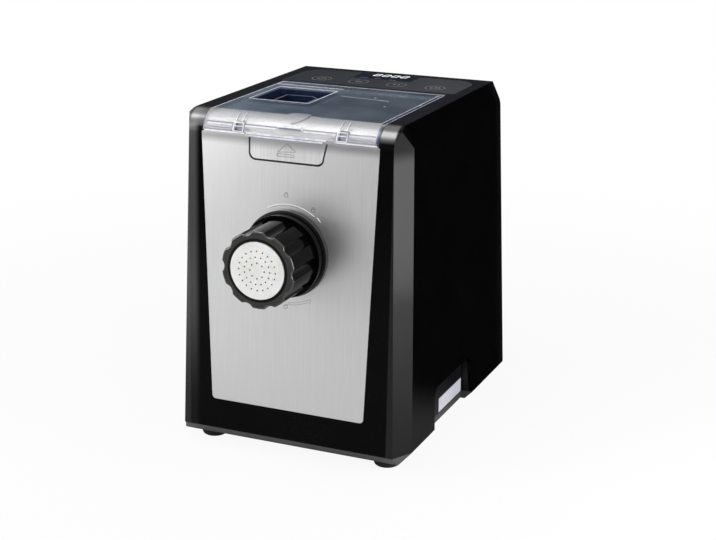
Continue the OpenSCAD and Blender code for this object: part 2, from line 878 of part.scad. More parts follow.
module clear_lid() {
    color([0.75, 0.82, 0.90, 0.4]) placed() difference() {
        union() {
            intersection() {
                skin(0, lid_t);
                box([-lid_x, lid_x], [-whole, bead_y], [lid_skirt_z, body_h + past]);
            }
            across(-lid_x, lid_x) translate([bead_y, bead_z]) circle(bead_r);
            both_sides() box([lid_x - lid_t, lid_x], [strip_y + 1, bead_y], [lid_side_z, body_h - 1]);
            feed_box(feed_t, feed_z, body_h - 1);
            // finger tab in the middle of the front, with cut corners
            finger_tab(0, tab_z[0]);
            finger_tab(lid_t / 2, lid_skirt_z);
            intersection() {
                difference() {
                    translate([0, -1.2, 0]) form(0);
                    form(lid_t);
                }
                box([-boss_mark_x, boss_mark_x], [-whole, bend_y], boss_mark_z);
            }
        }
        box([feed_x[0], feed_x[1]], [feed_y[0], feed_y[1]], [feed_z + feed_t, body_h + past]);
        box([feed_x[0] + feed_lip, feed_x[1] - feed_lip], [feed_y[0] + feed_lip, feed_y[1] - feed_lip],
            [feed_z - past, body_h]);
        // windows that the catches stand behind
        both_sides() box([latch_x - latch_w / 2 - 0.6, latch_x + latch_w / 2 + 0.6], [-past, bend_y],
                         [latch_z[0] - 0.6, latch_z[1] + 0.6]);
        both_sides() across(lid_x - hinge_reach - past, lid_x + past)
            translate([bead_y, bead_z]) circle(hinge_pin_r + running);
    }
}

module lid_hinge_pins() {
    color([0.75, 0.75, 0.78]) placed() both_sides()
        across(lid_x - hinge_reach + 1, ear_x[1]) translate([bead_y, bead_z]) circle(hinge_pin_r);
}

module lid_switch() {
    color([0.15, 0.15, 0.16]) placed()
        box([pocket_x - 20.8, pocket_x - 4.8], [bay_y - 7, bay_y], [key_z - 10, key_z]);
}

// ---- Base ---------------------------------------------------------------------------------------

pan_t = 2.5;
pan_edge = 0.8;
pan_low = 7;

// The pan as a solid, drawn in by the depth t, up to the height z1
module pan_form(t, z1) {
    x1 = half_w(skirt_z) - pan_edge - t;
    x0 = x1 - pan_low;
    y1 = front_at(skirt_z) + pan_edge + t;
    y2 = rear_at(skirt_z) - pan_edge - t;
    intersection() {
        along(-past, body_d) polygon([[-x1, z1], [-x1, pan_z - 1], [-x0, foot_h + t],
                                      [x0, foot_h + t], [x1, pan_z - 1], [x1, z1]]);
        across(-base_w, base_w) polygon([[y1, z1], [y1, pan_z - 1], [y1 + pan_low, foot_h + t],
                                         [y2 - pan_low, foot_h + t], [y2, pan_z - 1], [y2, z1]]);
        difference() {
            box([-base_w, base_w], [-past, body_d], [0, z1]);
            both_sides() beyond([base_w / 2 - facet_x, 0, 0], [base_w / 2, facet_y, 0],
                                [top_w / 2 - facet_x, front_lean, body_h], t + pan_edge);
        }
    }
}

pan_z = skirt_z - fit;
floor_z = foot_h + pan_t;
foot_ys = [foot_y, body_d - foot_y];
foot_boss_h = 18;
mount_x = 44;
post_h = 14;
mount_h = 8;
vent_n = 7;
power_x = [24, 70];
power_y = [24, 63];
power_z = 24;

// The space that a grip takes out of the pan, grown by g
module grip_block(g) {
    around = cup_t + fit + g;
    box([grip_in_x(skirt_z) - around, base_w], [grip_y[0] - around, grip_y[1] + around], [0, skirt_z]);
}

module base_pan() {
    color([0.16, 0.16, 0.17]) placed() difference() {
        union() {
            difference() {
                pan_form(0, pan_z);
                difference() {
                    pan_form(pan_t, pan_z + past);
                    both_sides() grip_block(pan_t);
                }
            }
            for (x = [-foot_x, foot_x], y = foot_ys)
                translate([x, y, floor_z - 1]) cylinder(h = foot_boss_h, r = 5.5);
            for (x = [-mount_x, mount_x], y = mount_ys)
                translate([x, y, floor_z - 1]) cylinder(h = post_h + 1, r = 6);
            for (x = power_x + [4, -4], y = power_y + [4, -4])
                translate([x, y, floor_z - 1]) cylinder(h = power_z - floor_z + 1, r = 3);
        }
        for (x = [-foot_x, foot_x], y = foot_ys)
            translate([x, y, foot_h - past]) cylinder(h = foot_boss_h, r = screw_r + 0.05);
        both_sides() grip_block(0);
        // vents below the motor
        for (i = [0 : vent_n - 1]) box([(i - 3) * 9 - 2, (i - 3) * 9 + 2],
                                       [stack_y[0] - 6, stack_y[1]], [0, floor_z + past]);
    }
}

function grip_in_x(z) = half_w(z) - grip_depth;

module foot() {
    r = 3;
    low_r = foot_r - 2.5;
    difference() {
        rotate_extrude() difference() {
            union() {
                polygon([[0, 0], [low_r - r, 0], [low_r, r], [foot_r, foot_h], [0, foot_h]]);
                translate([low_r - r, r]) circle(r);
            }
            translate([-2 * foot_r, -past]) square([2 * foot_r, foot_h + 2 * past]);
        }
        translate([0, 0, -past]) cylinder(h = 4 + past, r = 4.5);
        cylinder(h = foot_h + past, r = screw_r + fit);
    }
}

module rubber_feet() {
    color([0.09, 0.09, 0.09]) placed()
        for (x = [-foot_x, foot_x], y = foot_ys) translate([x, y, 0]) foot();
}

module foot_screws() {
    color([0.6, 0.6, 0.62]) placed() for (x = [-foot_x, foot_x], y = foot_ys) translate([x, y, 0]) {
        translate([0, 0, 1.8]) cylinder(h = 2.2, r = 3.8);
        translate([0, 0, 3]) cylinder(h = 19, r = screw_r);
    }
}

cup_t = 2;

// Inner wall and roof of both grips
module grip_cups() {
    color([0.08, 0.08, 0.085]) placed() both_sides() difference() {
        intersection() {
            across(grip_in_x(skirt_z) - cup_t, base_w) grip_outline(cup_t);
            form(wall);
            above_skirt();
        }
        across(grip_in_x(skirt_z), base_w) grip_outline(0);
    }
}

plate_y = [grip_y[0] + 34, grip_y[1] - 5];
plate_z = [skirt_z + 1.4, skirt_z + 13.9];
plate_t = 0.3;

module rating_plate() {
    color([0.75, 0.75, 0.77]) placed()
        box([grip_in_x(skirt_z), grip_in_x(skirt_z) + plate_t], plate_y, plate_z);
}

grommet_in = 14;
grommet_lip_r = cord_neck_r + 2.2;

module cord_grommet() {
    y = rear_at(cord_z);
    color([0.08, 0.08, 0.08]) placed() difference() {
        union() {
            rod(cord_neck_r, y - grommet_in, y + past, cord_x, cord_z);
            rod(grommet_lip_r, y + past, y + grommet_reach, cord_x, cord_z);
            rod(grommet_lip_r - 0.6, y - wall - 4.5, y - wall - 1.5, cord_x, cord_z);
        }
        rod(cord_r, y - grommet_in - past, y + grommet_reach + past, cord_x, cord_z);
    }
}

// ---- Gear case --------------------------------------------------------------------------------------

case_t = 3;
case_x = slow_m * (out_teeth + 2) / 2 + 1.5 + case_t;
case_z = [motor_z - 30, shaft_z + slow_m * (out_teeth + 2) / 2 + 1.5 + case_t];
case_y = [bay_out_y[1] + 1.2, bay_out_y[1] + 48.3];
mount_ys = [case_y[0] + 12.1, case_y[0] + 36.1];
fast_y = case_y[0] + case_t + 7;
slow_y = fast_y + fast_w + 3;
bush_r = 10;
idler_c = slow_m * (out_teeth + low_teeth) / 2;
motor_c = fast_m * (high_teeth + motor_teeth) / 2;
drop = shaft_z - motor_z;
idler_down = (idler_c * idler_c - motor_c * motor_c + drop * drop) / (2 * drop);
idler_x = sqrt(idler_c * idler_c - idler_down * idler_down);
idler_z = shaft_z - idler_down;
bell_r = 35;
motor_screw_r = 2;
motor_screw_at = 21.8;
motor_screw_zs = [motor_z - motor_screw_at, motor_z + motor_screw_at];
case_screw_at = [[-case_x + 6, case_z[0] + 6], [case_x - 6, case_z[0] + 6],
                 [-case_x + 6, case_z[1] - 6], [case_x - 6, case_z[1] - 6],
                 [-case_x + 6, 110], [case_x - 6, 110]];
case_h = case_z[1] - case_z[0];
case_mid = (case_z[0] + case_z[1]) / 2;

module gear_case() {
    color([0.62, 0.63, 0.65]) placed() difference() {
        union() {
            difference() {
                along(case_y[0], case_y[1]) translate([0, case_mid]) round_rect(2 * case_x, case_h, 8);
                along(case_y[0] + case_t, case_y[1] + past)
                    translate([0, case_mid]) round_rect(2 * (case_x - case_t), case_h - 2 * case_t, 5);
            }
            for (p = case_screw_at) rod(4.5, case_y[0] + case_t - 1, case_y[1], p[0], p[1]);
            rod(bush_r + 3, case_y[0], case_y[0] + case_t + 4);
            rod(pin_r + 4, case_y[0], case_y[0] + case_t + 4, idler_x, idler_z);
        }
        rod(bush_r, case_y[0] - past, case_y[0] + case_t + 4 + past);
        rod(pin_r, case_y[0] - past, case_y[0] + case_t + 4 + past, idler_x, idler_z);
        rod(pin_r + 4, case_y[0] - past, case_y[0] + case_t + past, 0, motor_z);
        for (p = case_screw_at) rod(1.5, case_y[1] - 14, case_y[1] + past, p[0], p[1]);
        for (x = [-motor_screw_at, motor_screw_at], z = motor_screw_zs)
            rod(motor_screw_r + fit, case_y[0] - past, case_y[0] + case_t + past, x, z);
    }
}

cover_y = [case_y[1], case_y[1] + case_t];

module gear_cover() {
    color([0.58, 0.59, 0.61]) placed() difference() {
        union() {
            along(cover_y[0], cover_y[1]) translate([0, case_mid]) round_rect(2 * case_x, case_h, 8);
            rod(bush_r + 3, cover_y[0] - 3, cover_y[1]);
            rod(pin_r + 4, cover_y[0] - 3, cover_y[1], idler_x, idler_z);
        }
        rod(bush_r, cover_y[0] - 3 - past, cover_y[1] + past);
        rod(pin_r, cover_y[0] - 3 - past, cover_y[1] + past, idler_x, idler_z);
        for (p = case_screw_at) rod(1.6, cover_y[0] - past, cover_y[1] + past, p[0], p[1]);
    }
}

module gear_screws() {
    color([0.55, 0.55, 0.57]) placed() for (p = case_screw_at) {
        rod(1.5, cover_y[0] - 10, cover_y[1] + 0.5, p[0], p[1]);
        rod(3, cover_y[1], cover_y[1] + 2, p[0], p[1]);
    }
}

module shaft_bushes() {
    color([0.72, 0.52, 0.25]) placed() difference() {
        union() {
            rod(bush_r, case_y[0], case_y[0] + case_t + 4);
            rod(bush_r, cover_y[0] - 3, cover_y[1]);
        }
        rod(shaft_r + running, case_y[0] - past, cover_y[1] + past);
    }
}

module idler_pin() {
    color([0.7, 0.7, 0.72]) placed() rod(pin_r, case_y[0], cover_y[1], idler_x, idler_z);
}

// Rubber mounts that carry the gear case on the pan's posts
module gear_mounts() {
    color([0.1, 0.1, 0.1]) placed() for (x = [-mount_x, mount_x], y = mount_ys)
        translate([x, y, floor_z + post_h]) cylinder(h = case_z[0] - floor_z - post_h, r = 6);
}

// ---- Gears ----------------------------------------------------------------------------------------------

pressure_a = 25;
backlash = 0.16;
flank_steps = 4;

function involute(base_r, r) = let (t = sqrt(r * r / (base_r * base_r) - 1)) t * 180 / PI - atan(t);

// Points of one tooth on the angle a, from its left foot round to its right foot
function tooth(m, n, a) =
    let (pitch_r = m * n / 2, base_r = pitch_r * cos(pressure_a), tip_r = pitch_r + m,
         root_r = pitch_r - 1.2 * m, start_r = max(base_r, root_r + 0.1),
         half = 90 / n - backlash / pitch_r * 90 / PI + involute(base_r, pitch_r))
    concat([[root_r, a - half + involute(base_r, start_r)]],
           [for (i = [0 : flank_steps]) let (r = start_r + (tip_r - start_r) * i / flank_steps)
               [r, a - half + involute(base_r, r)]],
           [for (i = [flank_steps : -1 : 0]) let (r = start_r + (tip_r - start_r) * i / flank_steps)
               [r, a + half - involute(base_r, r)]],
           [[root_r, a + half - involute(base_r, start_r)]]);

module gear_outline(m, n, turn) {
    polygon([for (i = [0 : n - 1]) for (p = tooth(m, n, turn + i * 360 / n))
        [p[0] * cos(p[1]), p[0] * sin(p[1])]]);
}

module gear(m, n, turn, y0, w, x, z) {
    translate([x, y0 + w, z]) rotate([90, 0, 0]) linear_extrude(w) gear_outline(m, n, turn);
}

line_out = atan2(idler_z - shaft_z, idler_x);
line_fast = atan2(motor_z - idler_z, -idler_x);

module output_gear() {
    web_t = 5;
    rim_in = slow_m * out_teeth / 2 - 8;
    color([0.85, 0.84, 0.80]) placed() difference() {
        union() {
            gear(slow_m, out_teeth, line_out, slow_y, slow_w, 0, shaft_z);
            rod(shaft_r + 6, slow_y - 3, slow_y + slow_w + 2);
        }
        difference() {
            union() {
                rod(rim_in, slow_y - past, slow_y + (slow_w - web_t) / 2);
                rod(rim_in, slow_y + (slow_w + web_t) / 2, slow_y + slow_w + past);
            }
            rod(shaft_r + 6, slow_y - 4, slow_y + slow_w + 3);
        }
        for (a = [0 : 60 : 300]) rod(9, slow_y - past, slow_y + slow_w + past,
                                     (shaft_r + rim_in + 6) / 2 * cos(a),
                                     shaft_z + (shaft_r + rim_in + 6) / 2 * sin(a));
        rod(shaft_r, slow_y - 4, slow_y + slow_w + 3);
    }
}

module idler_gear() {
    color([0.80, 0.78, 0.70]) placed() difference() {
        union() {
            gear(fast_m, high_teeth, line_fast, fast_y, fast_w, idler_x, idler_z);
            gear(slow_m, low_teeth, line_out + 180 + 180 / low_teeth, fast_y + fast_w - past,
                 slow_y + slow_w - fast_y - fast_w + past, idler_x, idler_z);
        }
        rod(pin_r + running, fast_y - past, slow_y + slow_w + past, idler_x, idler_z);
    }
}

module motor_pinion() {
    color([0.70, 0.60, 0.30]) placed() difference() {
        gear(fast_m, motor_teeth, line_fast + 180 + 180 / motor_teeth, fast_y - 1, fast_w + 2, 0, motor_z);
        rod(pin_r, fast_y - 2, fast_y + fast_w + 2, 0, motor_z);
    }
}

// ---- Mixing shaft ---------------------------------------------------------------------------------------------

hex_r = 5.5;
hex_sides = 6;
shaft_y = [bowl_y[1] - 14, bay_in_y[1] - 0.2, cover_y[1] + 1];
hub_r = 11;
auger_r = barrel_bore_r - 0.5;
auger_y = [-barrel_y + 3, bowl_y[0] + 14];
paddle_r = trough_r - 2;
paddle_y = [auger_y[1], bowl_y[1] + 0.3];

module drive_shaft() {
    color([0.75, 0.75, 0.77]) placed() union() {
        rod(shaft_r, shaft_y[1], shaft_y[2]);
        rod(hex_r, shaft_y[0], shaft_y[1] + past, sides = hex_sides);
    }
}

auger_pitch = 24;
auger_core_r = 7.5;
flight_w = 50;

module auger_screw() {
    len = auger_y[1] - auger_y[0];
    color([0.85, 0.85, 0.83]) placed() union() {
        translate([0, auger_y[1] - 0.1, shaft_z]) rotate([90, 0, 0])
            linear_extrude(len - 0.1, twist = 360 * (len - 0.1) / auger_pitch, slices = 40, segments = 0)
                polygon(concat([[0, 0]], [for (a = [0 : flight_w / 2 : flight_w]) auger_r * [cos(a), sin(a)]]));
        rod(auger_core_r, auger_y[0], auger_y[1], sides = 24);
    }
}

blade_t = 6;

// Place at the share f of the paddle's hub, from its front end
function hub_at(f) = auger_y[1] + f * (bowl_y[1] - bowl_t - auger_y[1]);

// One blade: an arm that leaves the hub on the angle a, with a foot along the trough
module blade(y0, y1, a) {
    translate([0, 0, shaft_z]) rotate([0, a, 0]) difference() {
        union() {
            box([-blade_t / 2, blade_t / 2], [y0, y0 + 9], [0, paddle_r - 1]);
            box([-blade_t / 2, blade_t / 2], [y0, y1], [paddle_r - 9, paddle_r - 1]);
        }
        rotate([90, 0, 0]) translate([0, 0, -whole]) cylinder(h = 2 * whole, r = hex_r + 1);
    }
}

module mixing_paddle() {
    color([0.88, 0.88, 0.86]) placed() difference() {
        union() {
            rod(hub_r, paddle_y[0], bowl_y[1] - bowl_t - 0.4);
            rod(journal_r, bowl_y[1] - bowl_t - past, paddle_y[1]);
            blade(hub_at(0.05), hub_at(0.45), 30);
            blade(hub_at(0.4), hub_at(0.8), 150);
            blade(hub_at(0.13), hub_at(0.54), 270);
        }
        rod(hex_r + 0.15, shaft_y[0] - 0.5, paddle_y[1] + past, sides = hex_sides);
    }
}

// ---- Motor -----------------------------------------------------------------------------------------------------------

stack_len = 46;
rear_bell_len = 15.9;
stack_y = [case_y[0] - rear_bell_len - stack_len, case_y[0] - rear_bell_len];
stack_w = 70;
rotor_r = 20;
air_gap = 0.4;
bell_t = 3;
front_bell_y = [stack_y[0] - 19, stack_y[0]];
rear_bell_y = [stack_y[1], case_y[0]];
bearing_r = 8;
bearing_w = 6;
coil_r = 28;
coil_h = 9;
motor_shaft_y = [front_bell_y[0] - 16, fast_y + fast_w + 1.5];

module motor_stator() {
    color([0.45, 0.46, 0.48]) placed() difference() {
        along(stack_y[0], stack_y[1]) translate([0, motor_z]) round_rect(stack_w, stack_w, 10);
        rod(rotor_r + air_gap, stack_y[0] - past, stack_y[1] + past, 0, motor_z);
        for (x = [-motor_screw_at, motor_screw_at], z = motor_screw_zs)
            rod(motor_screw_r + fit, stack_y[0] - past, stack_y[1] + past, x, z);
    }
}

module motor_coils() {
    color([0.75, 0.40, 0.18]) placed() difference() {
        union() {
            rod(coil_r, stack_y[0] - coil_h, stack_y[0], 0, motor_z);
            rod(coil_r, stack_y[1], stack_y[1] + coil_h, 0, motor_z);
        }
        rod(rotor_r + 2, stack_y[0] - 11, stack_y[1] + 11, 0, motor_z);
    }
}

// Cup that holds one of the motor's bearings, closed at y0 and open at y1
module bell(y0, y1) {
    inward = y1 > y0 ? 1 : -1;
    low = min(y0, y1);
    high = max(y0, y1);
    difference() {
        rod(bell_r, low, high, 0, motor_z);
        rod(bell_r - bell_t, inward > 0 ? y0 + bearing_w : low - past, inward > 0 ? high + past : y0 - bearing_w,
            0, motor_z);
        rod(bearing_r, low - past, high + past, 0, motor_z);
    }
}

module screw_lugs(y0, y1) {
    for (x = [-motor_screw_at, motor_screw_at], z = motor_screw_zs) rod(4.1, y0, y1, x, z);
}

module screw_holes(y0, y1) {
    for (x = [-motor_screw_at, motor_screw_at], z = motor_screw_zs)
        rod(motor_screw_r + fit, y0, y1, x, z);
}

module motor_front_bell() {
    color([0.55, 0.56, 0.58]) placed() difference() {
        union() {
            bell(front_bell_y[0], front_bell_y[1]);
            difference() {
                screw_lugs(front_bell_y[0], front_bell_y[1]);
                rod(coil_r + slip, front_bell_y[0] + bearing_w, front_bell_y[1] + past, 0, motor_z);
            }
        }
        screw_holes(front_bell_y[0] - past, front_bell_y[1] + past);
    }
}

module motor_rear_bell() {
    color([0.55, 0.56, 0.58]) placed() difference() {
        union() {
            bell(rear_bell_y[1], rear_bell_y[0]);
            difference() {
                screw_lugs(rear_bell_y[0], rear_bell_y[1]);
                rod(coil_r + slip, rear_bell_y[0] - past, rear_bell_y[1] - bearing_w, 0, motor_z);
            }
        }
        screw_holes(rear_bell_y[0] - past, rear_bell_y[1] + past);
    }
}

module motor_bearings() {
    color([0.7, 0.7, 0.72]) placed() difference() {
        union() {
            rod(bearing_r, front_bell_y[0], front_bell_y[0] + bearing_w, 0, motor_z);
            rod(bearing_r, rear_bell_y[1] - bearing_w, rear_bell_y[1], 0, motor_z);
        }
        rod(pin_r + running, front_bell_y[0] - past, rear_bell_y[1] + past, 0, motor_z);
    }
}

module motor_screws() {
    color([0.6, 0.6, 0.62]) placed() for (x = [-motor_screw_at, motor_screw_at], z = motor_screw_zs) {
        rod(motor_screw_r, front_bell_y[0] - 1, case_y[0] + case_t + 3, x, z);
        rod(3.6, front_bell_y[0] - 2.4, front_bell_y[0], x, z);
        rod(3.6, case_y[0] + case_t, case_y[0] + case_t + 2.4, x, z);
    }
}

module motor_cradle() {
    y = [front_bell_y[0] + 5, front_bell_y[0] + 11];
    color([0.5, 0.5, 0.52]) placed() difference() {
        union() {
            box([-30, 30], y, [floor_z, motor_z - 18]);
            box([-30, 30], [y[0], y[1] + 8], [floor_z, floor_z + 2]);
        }
        rod(bell_r + fit / 2, y[0] - past, y[1] + 10, 0, motor_z);
    }
}

module motor_rotor() {
    color([0.5, 0.5, 0.52]) placed() difference() {
        rod(rotor_r, stack_y[0], stack_y[1], 0, motor_z);
        rod(pin_r, stack_y[0] - past, stack_y[1] + past, 0, motor_z);
    }
}

module motor_shaft() {
    color([0.72, 0.72, 0.74]) placed() rod(pin_r, motor_shaft_y[0], motor_shaft_y[1], 0, motor_z);
}

fan_r = 32;
fan_blades = 9;

module cooling_fan() {
    y = [motor_shaft_y[0] + 1, front_bell_y[0] - 4];
    color([0.2, 0.3, 0.5]) placed() difference() {
        union() {
            rod(8, y[0], y[1], 0, motor_z);
            rod(fan_r, y[1] - 1.6, y[1], 0, motor_z);
            for (i = [0 : fan_blades - 1]) translate([0, 0, motor_z]) rotate([0, i * 360 / fan_blades, 0])
                box([-0.8, 0.8], y, [6, fan_r - 1]);
        }
        rod(pin_r, y[0] - past, y[1] + past, 0, motor_z);
    }
}

can_r = 15;
can_h = 52;
can_inset = 43;

module run_capacitor() {
    color([0.8, 0.8, 0.82]) placed() translate([can_inset - base_w / 2, 48, floor_z]) union() {
        cylinder(h = can_h, r = can_r);
        translate([0, 0, can_h - 1]) cylinder(h = 5, r = can_r - 2);
        for (x = [-5, 5]) translate([x - 0.4, -3, can_h + 3]) cube([0.8, 6, 8]);
    }
}

module power_board() {
    color([0.12, 0.38, 0.18]) placed() union() {
        box(power_x, power_y, [power_z, power_z + board_t]);
        // a relay, a choke and two capacitors
        translate([power_x[0], power_y[0], power_z + board_t - fit]) {
            box([4, 22], [6, 24], [0, 16.5]);
            box([27, 41], [6, 20], [0, 12.5]);
            translate([13, 32, 0]) cylinder(h = 16, r = 5);
            translate([33, 32, 0]) cylinder(h = 12, r = 6);
        }
    }
}

front_frame();
left_side_panel();
right_side_panel();
rear_cover();
top_deck();
steel_panel();
touch_panel();
display_block();
control_board();
touch_pads();
chamber_bay();
mixing_chamber();
extrusion_barrel();
shaft_seal();
base_pan();
rubber_feet();
foot_screws();
cover_screws();
grip_cups();
rating_plate();
cord_grommet();
lid_hinge_pins();
lid_switch();
gear_case();
gear_cover();
gear_screws();
shaft_bushes();
idler_pin();
gear_mounts();
motor_stator();
motor_coils();
motor_front_bell();
motor_rear_bell();
motor_bearings();
motor_screws();
motor_cradle();
run_capacitor();
power_board();
clear_lid();
release_key();
latch_slider();
key_springs();
die_disc();
locking_nut();
drive_shaft();
output_gear();
auger_screw();
mixing_paddle();
idler_gear();
motor_rotor();
motor_shaft();
motor_pinion();
cooling_fan();
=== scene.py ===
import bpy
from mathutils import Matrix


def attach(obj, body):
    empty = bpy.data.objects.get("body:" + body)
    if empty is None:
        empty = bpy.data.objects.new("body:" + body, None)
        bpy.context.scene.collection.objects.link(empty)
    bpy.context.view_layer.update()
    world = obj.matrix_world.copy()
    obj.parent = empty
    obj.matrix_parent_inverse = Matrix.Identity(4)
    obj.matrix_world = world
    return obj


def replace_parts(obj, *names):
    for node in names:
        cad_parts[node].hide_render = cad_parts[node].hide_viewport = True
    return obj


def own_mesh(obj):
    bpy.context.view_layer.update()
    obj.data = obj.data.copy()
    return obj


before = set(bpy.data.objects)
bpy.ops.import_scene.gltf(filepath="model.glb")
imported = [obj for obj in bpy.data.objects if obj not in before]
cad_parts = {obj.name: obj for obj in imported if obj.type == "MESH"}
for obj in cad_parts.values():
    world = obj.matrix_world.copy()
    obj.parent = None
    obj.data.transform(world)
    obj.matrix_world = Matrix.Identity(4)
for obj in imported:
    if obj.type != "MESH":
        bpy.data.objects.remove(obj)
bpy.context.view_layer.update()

import math

import bmesh
import bpy
from mathutils import Matrix, Vector


# ---- Studio ------------------------------------------------------------------
# A pale floor, an even grey room and three soft boxes. The camera stands to the
# right of the machine's front and looks a little down on it.

# the camera's turn to the left, its tilt down and its roll
yaw, pitch, roll = math.radians(23.34), math.radians(17.27), math.radians(0.39)
forward = Vector((-math.sin(yaw) * math.cos(pitch), math.cos(yaw) * math.cos(pitch),
                  -math.sin(pitch)))
level = Vector((math.cos(yaw), math.sin(yaw), 0))
up = level.cross(forward)
right = math.cos(roll) * level + math.sin(roll) * up
above = math.cos(roll) * up - math.sin(roll) * level
camera_place = (0.5251, -1.17115, 0.5340)

lens = bpy.data.cameras.new("camera")
lens.lens = 78.62
lens.sensor_width = 36
camera = bpy.data.objects.new("camera", lens)
camera.matrix_world = (Matrix.Translation(camera_place)
                       @ Matrix((right, above, -forward)).transposed().to_4x4())
bpy.context.scene.collection.objects.link(camera)
bpy.context.scene.camera = camera
bpy.context.scene.view_settings.view_transform = "Standard"


class Value:
    """A number or colour in a node tree. Python's operators add the Math nodes."""

    def __init__(self, finish, socket):
        self.finish = finish
        self.socket = socket

    def math(self, operation, first, second):
        return self.finish.node("Math", {0: first, 1: second}, operation=operation)

    def __add__(self, other):
        return self.math("ADD", self, other)

    def __sub__(self, other):
        return self.math("SUBTRACT", self, other)

    def __rsub__(self, other):
        return self.math("SUBTRACT", other, self)

    def __mul__(self, other):
        return self.math("MULTIPLY", self, other)

    def __gt__(self, other):
        return self.math("GREATER_THAN", self, other)

    def __lt__(self, other):
        return self.math("LESS_THAN", self, other)

    __radd__ = __add__
    __rmul__ = __mul__


class Finish:
    """The node tree of a material or of the world."""

    def __init__(self, owner):
        owner.use_nodes = True
        self.owner = owner
        self.tree = owner.node_tree

    def node(self, kind, inputs=None, out=0, **settings):
        made = self.tree.nodes.new("ShaderNode" + kind)
        for name, value in settings.items():
            setattr(made, name, value)
        self.fill(made, inputs or {})
        return Value(self, made.outputs[out])

    def fill(self, made, inputs):
        for name, value in inputs.items():
            if isinstance(value, Value):
                self.tree.links.new(value.socket, made.inputs[name])
            else:
                made.inputs[name].default_value = value

    def paint(self, inputs):
        """Sets the sockets of the material's own shader."""
        self.fill(self.tree.nodes["Principled BSDF"], inputs)


def coloured(red, green, blue):
    return (red, green, blue, 1.0)


def blend(finish, first, second, share):
    """A colour between two others, by the share of the second."""
    return finish.node("Mix", {0: share, 6: first, 7: second}, out=2, data_type="RGBA")


def fade(finish, value, low, high, start=0.0, end=1.0):
    """Goes smoothly from start to end as the value goes from low to high."""
    return finish.node("MapRange", {0: value, 1: low, 2: high, 3: start, 4: end},
                       interpolation_type="SMOOTHSTEP")


def along(finish, place, axis):
    """How far a place lies along the axis X, Y or Z."""
    return finish.node("SeparateXYZ", {0: place}, out=axis)


def ray(finish, kind):
    """One for what a ray of this kind sees, and nought for the rest."""
    return finish.node("LightPath", out="Is %s Ray" % kind)


world = bpy.data.worlds.new("room")
bpy.context.scene.world = world
room = Finish(world)
direction = room.node("TexCoord", out="Generated")
white = coloured(1.0, 1.0, 1.0)
# the tent that gloss shows: a bright roof, plain walls, and a dark wall behind the machine
walls = blend(room, coloured(0.75, 0.75, 0.76), coloured(0.02, 0.021, 0.024),
              fade(room, along(room, direction, "Y"), 0.0, 0.45))
reflected = blend(room, walls, coloured(1.0, 1.0, 1.02),
                  fade(room, along(room, direction, "Z"), 0.35, 0.8))
ambient = blend(room, coloured(0.38, 0.38, 0.39), reflected, ray(room, "Glossy"))
room.fill(world.node_tree.nodes["Background"], {
    "Color": blend(room, ambient, white, ray(room, "Camera") + ray(room, "Transmission")),
    "Strength": 1.0})


def soft_box(name, place, target, width, height, power):
    """A rectangular lamp in watts that faces its target and stays out of the camera's sight."""
    light = bpy.data.lights.new(name, "AREA")
    light.shape = "RECTANGLE"
    light.size = width
    light.size_y = height
    light.energy = power
    box = bpy.data.objects.new(name, light)
    box.location = place
    box.rotation_euler = (Vector(place) - Vector(target)).to_track_quat("Z", "Y").to_euler()
    box.visible_camera = False
    bpy.context.scene.collection.objects.link(box)


soft_box("front_box", (-0.62, -0.60, 0.39), (0, -0.1, 0.13), 0.4, 0.5, 3.6)
soft_box("top_box", (-0.30, -0.35, 1.20), (0, 0, 0.2), 0.6, 0.5, 4.5)
soft_box("right_box", (0.55, -0.10, 0.20), (0.1, -0.1, 0.15), 0.4, 0.35, 2.4)

bm = bmesh.new()
bmesh.ops.create_circle(bm, cap_ends=True, segments=64, radius=3)
mesh = bpy.data.meshes.new("floor")
bm.to_mesh(mesh)
bm.free()
floor = bpy.data.objects.new("floor", mesh)
bpy.context.scene.collection.objects.link(floor)

pale = Finish(bpy.data.materials.new("pale_floor"))
pale.paint({"Base Color": coloured(0.75, 0.75, 0.75), "Roughness": 0.9})
matt = Value(pale, pale.tree.nodes["Principled BSDF"].outputs[0])
place = pale.node("TexCoord", out="Object")
# a black card behind the machine shows in its glossy sides alone
card = pale.node("Emission", {"Color": coloured(0.015, 0.016, 0.018), "Strength": 1.0})
on_card = ray(pale, "Glossy") * fade(pale, along(pale, place, "Y"), 0.0, 0.12)
below = pale.node("MixShader", {0: on_card, 1: matt, 2: card})
# the floor turns white away from the machine, and keeps its shadow near it
lit = pale.node("Emission", {"Color": white, "Strength": 1.0})
away = pale.node("VectorMath", {0: place}, out="Value", operation="LENGTH")
mixed = pale.node("MixShader", {0: ray(pale, "Camera") * fade(pale, away, 0.2, 1.0, 0.92, 1.0),
                                1: below, 2: lit})
pale.tree.links.new(mixed.socket, pale.tree.nodes["Material Output"].inputs[0])
floor.data.materials.append(pale.owner)


# ---- Housing -----------------------------------------------------------------
# Glossy black ABS mouldings: a front frame, two sides, a rear cover and the top.
# The outer creases are rounded in the mould, and the parting lines stay crisp.

def shaped(node):
    """A bmesh of a CAD node, its triangles joined to flat faces."""
    bm = bmesh.new()
    bm.from_mesh(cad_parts[node].data)
    bmesh.ops.remove_doubles(bm, verts=bm.verts, dist=2e-6)
    bmesh.ops.dissolve_limit(bm, angle_limit=math.radians(0.3), verts=bm.verts, edges=bm.edges)
    return bm


def round_edges(bm, low, high, width, segments):
    """Rounds the edges whose faces turn by more than low and less than high degrees."""
    edges = [edge for edge in bm.edges
             if edge.is_manifold and low <= math.degrees(edge.calc_face_angle(0)) < high]
    bmesh.ops.bevel(bm, geom=edges, offset=width, offset_type="OFFSET", affect="EDGES",
                    segments=segments, profile=0.5, material=-1, clamp_overlap=True)


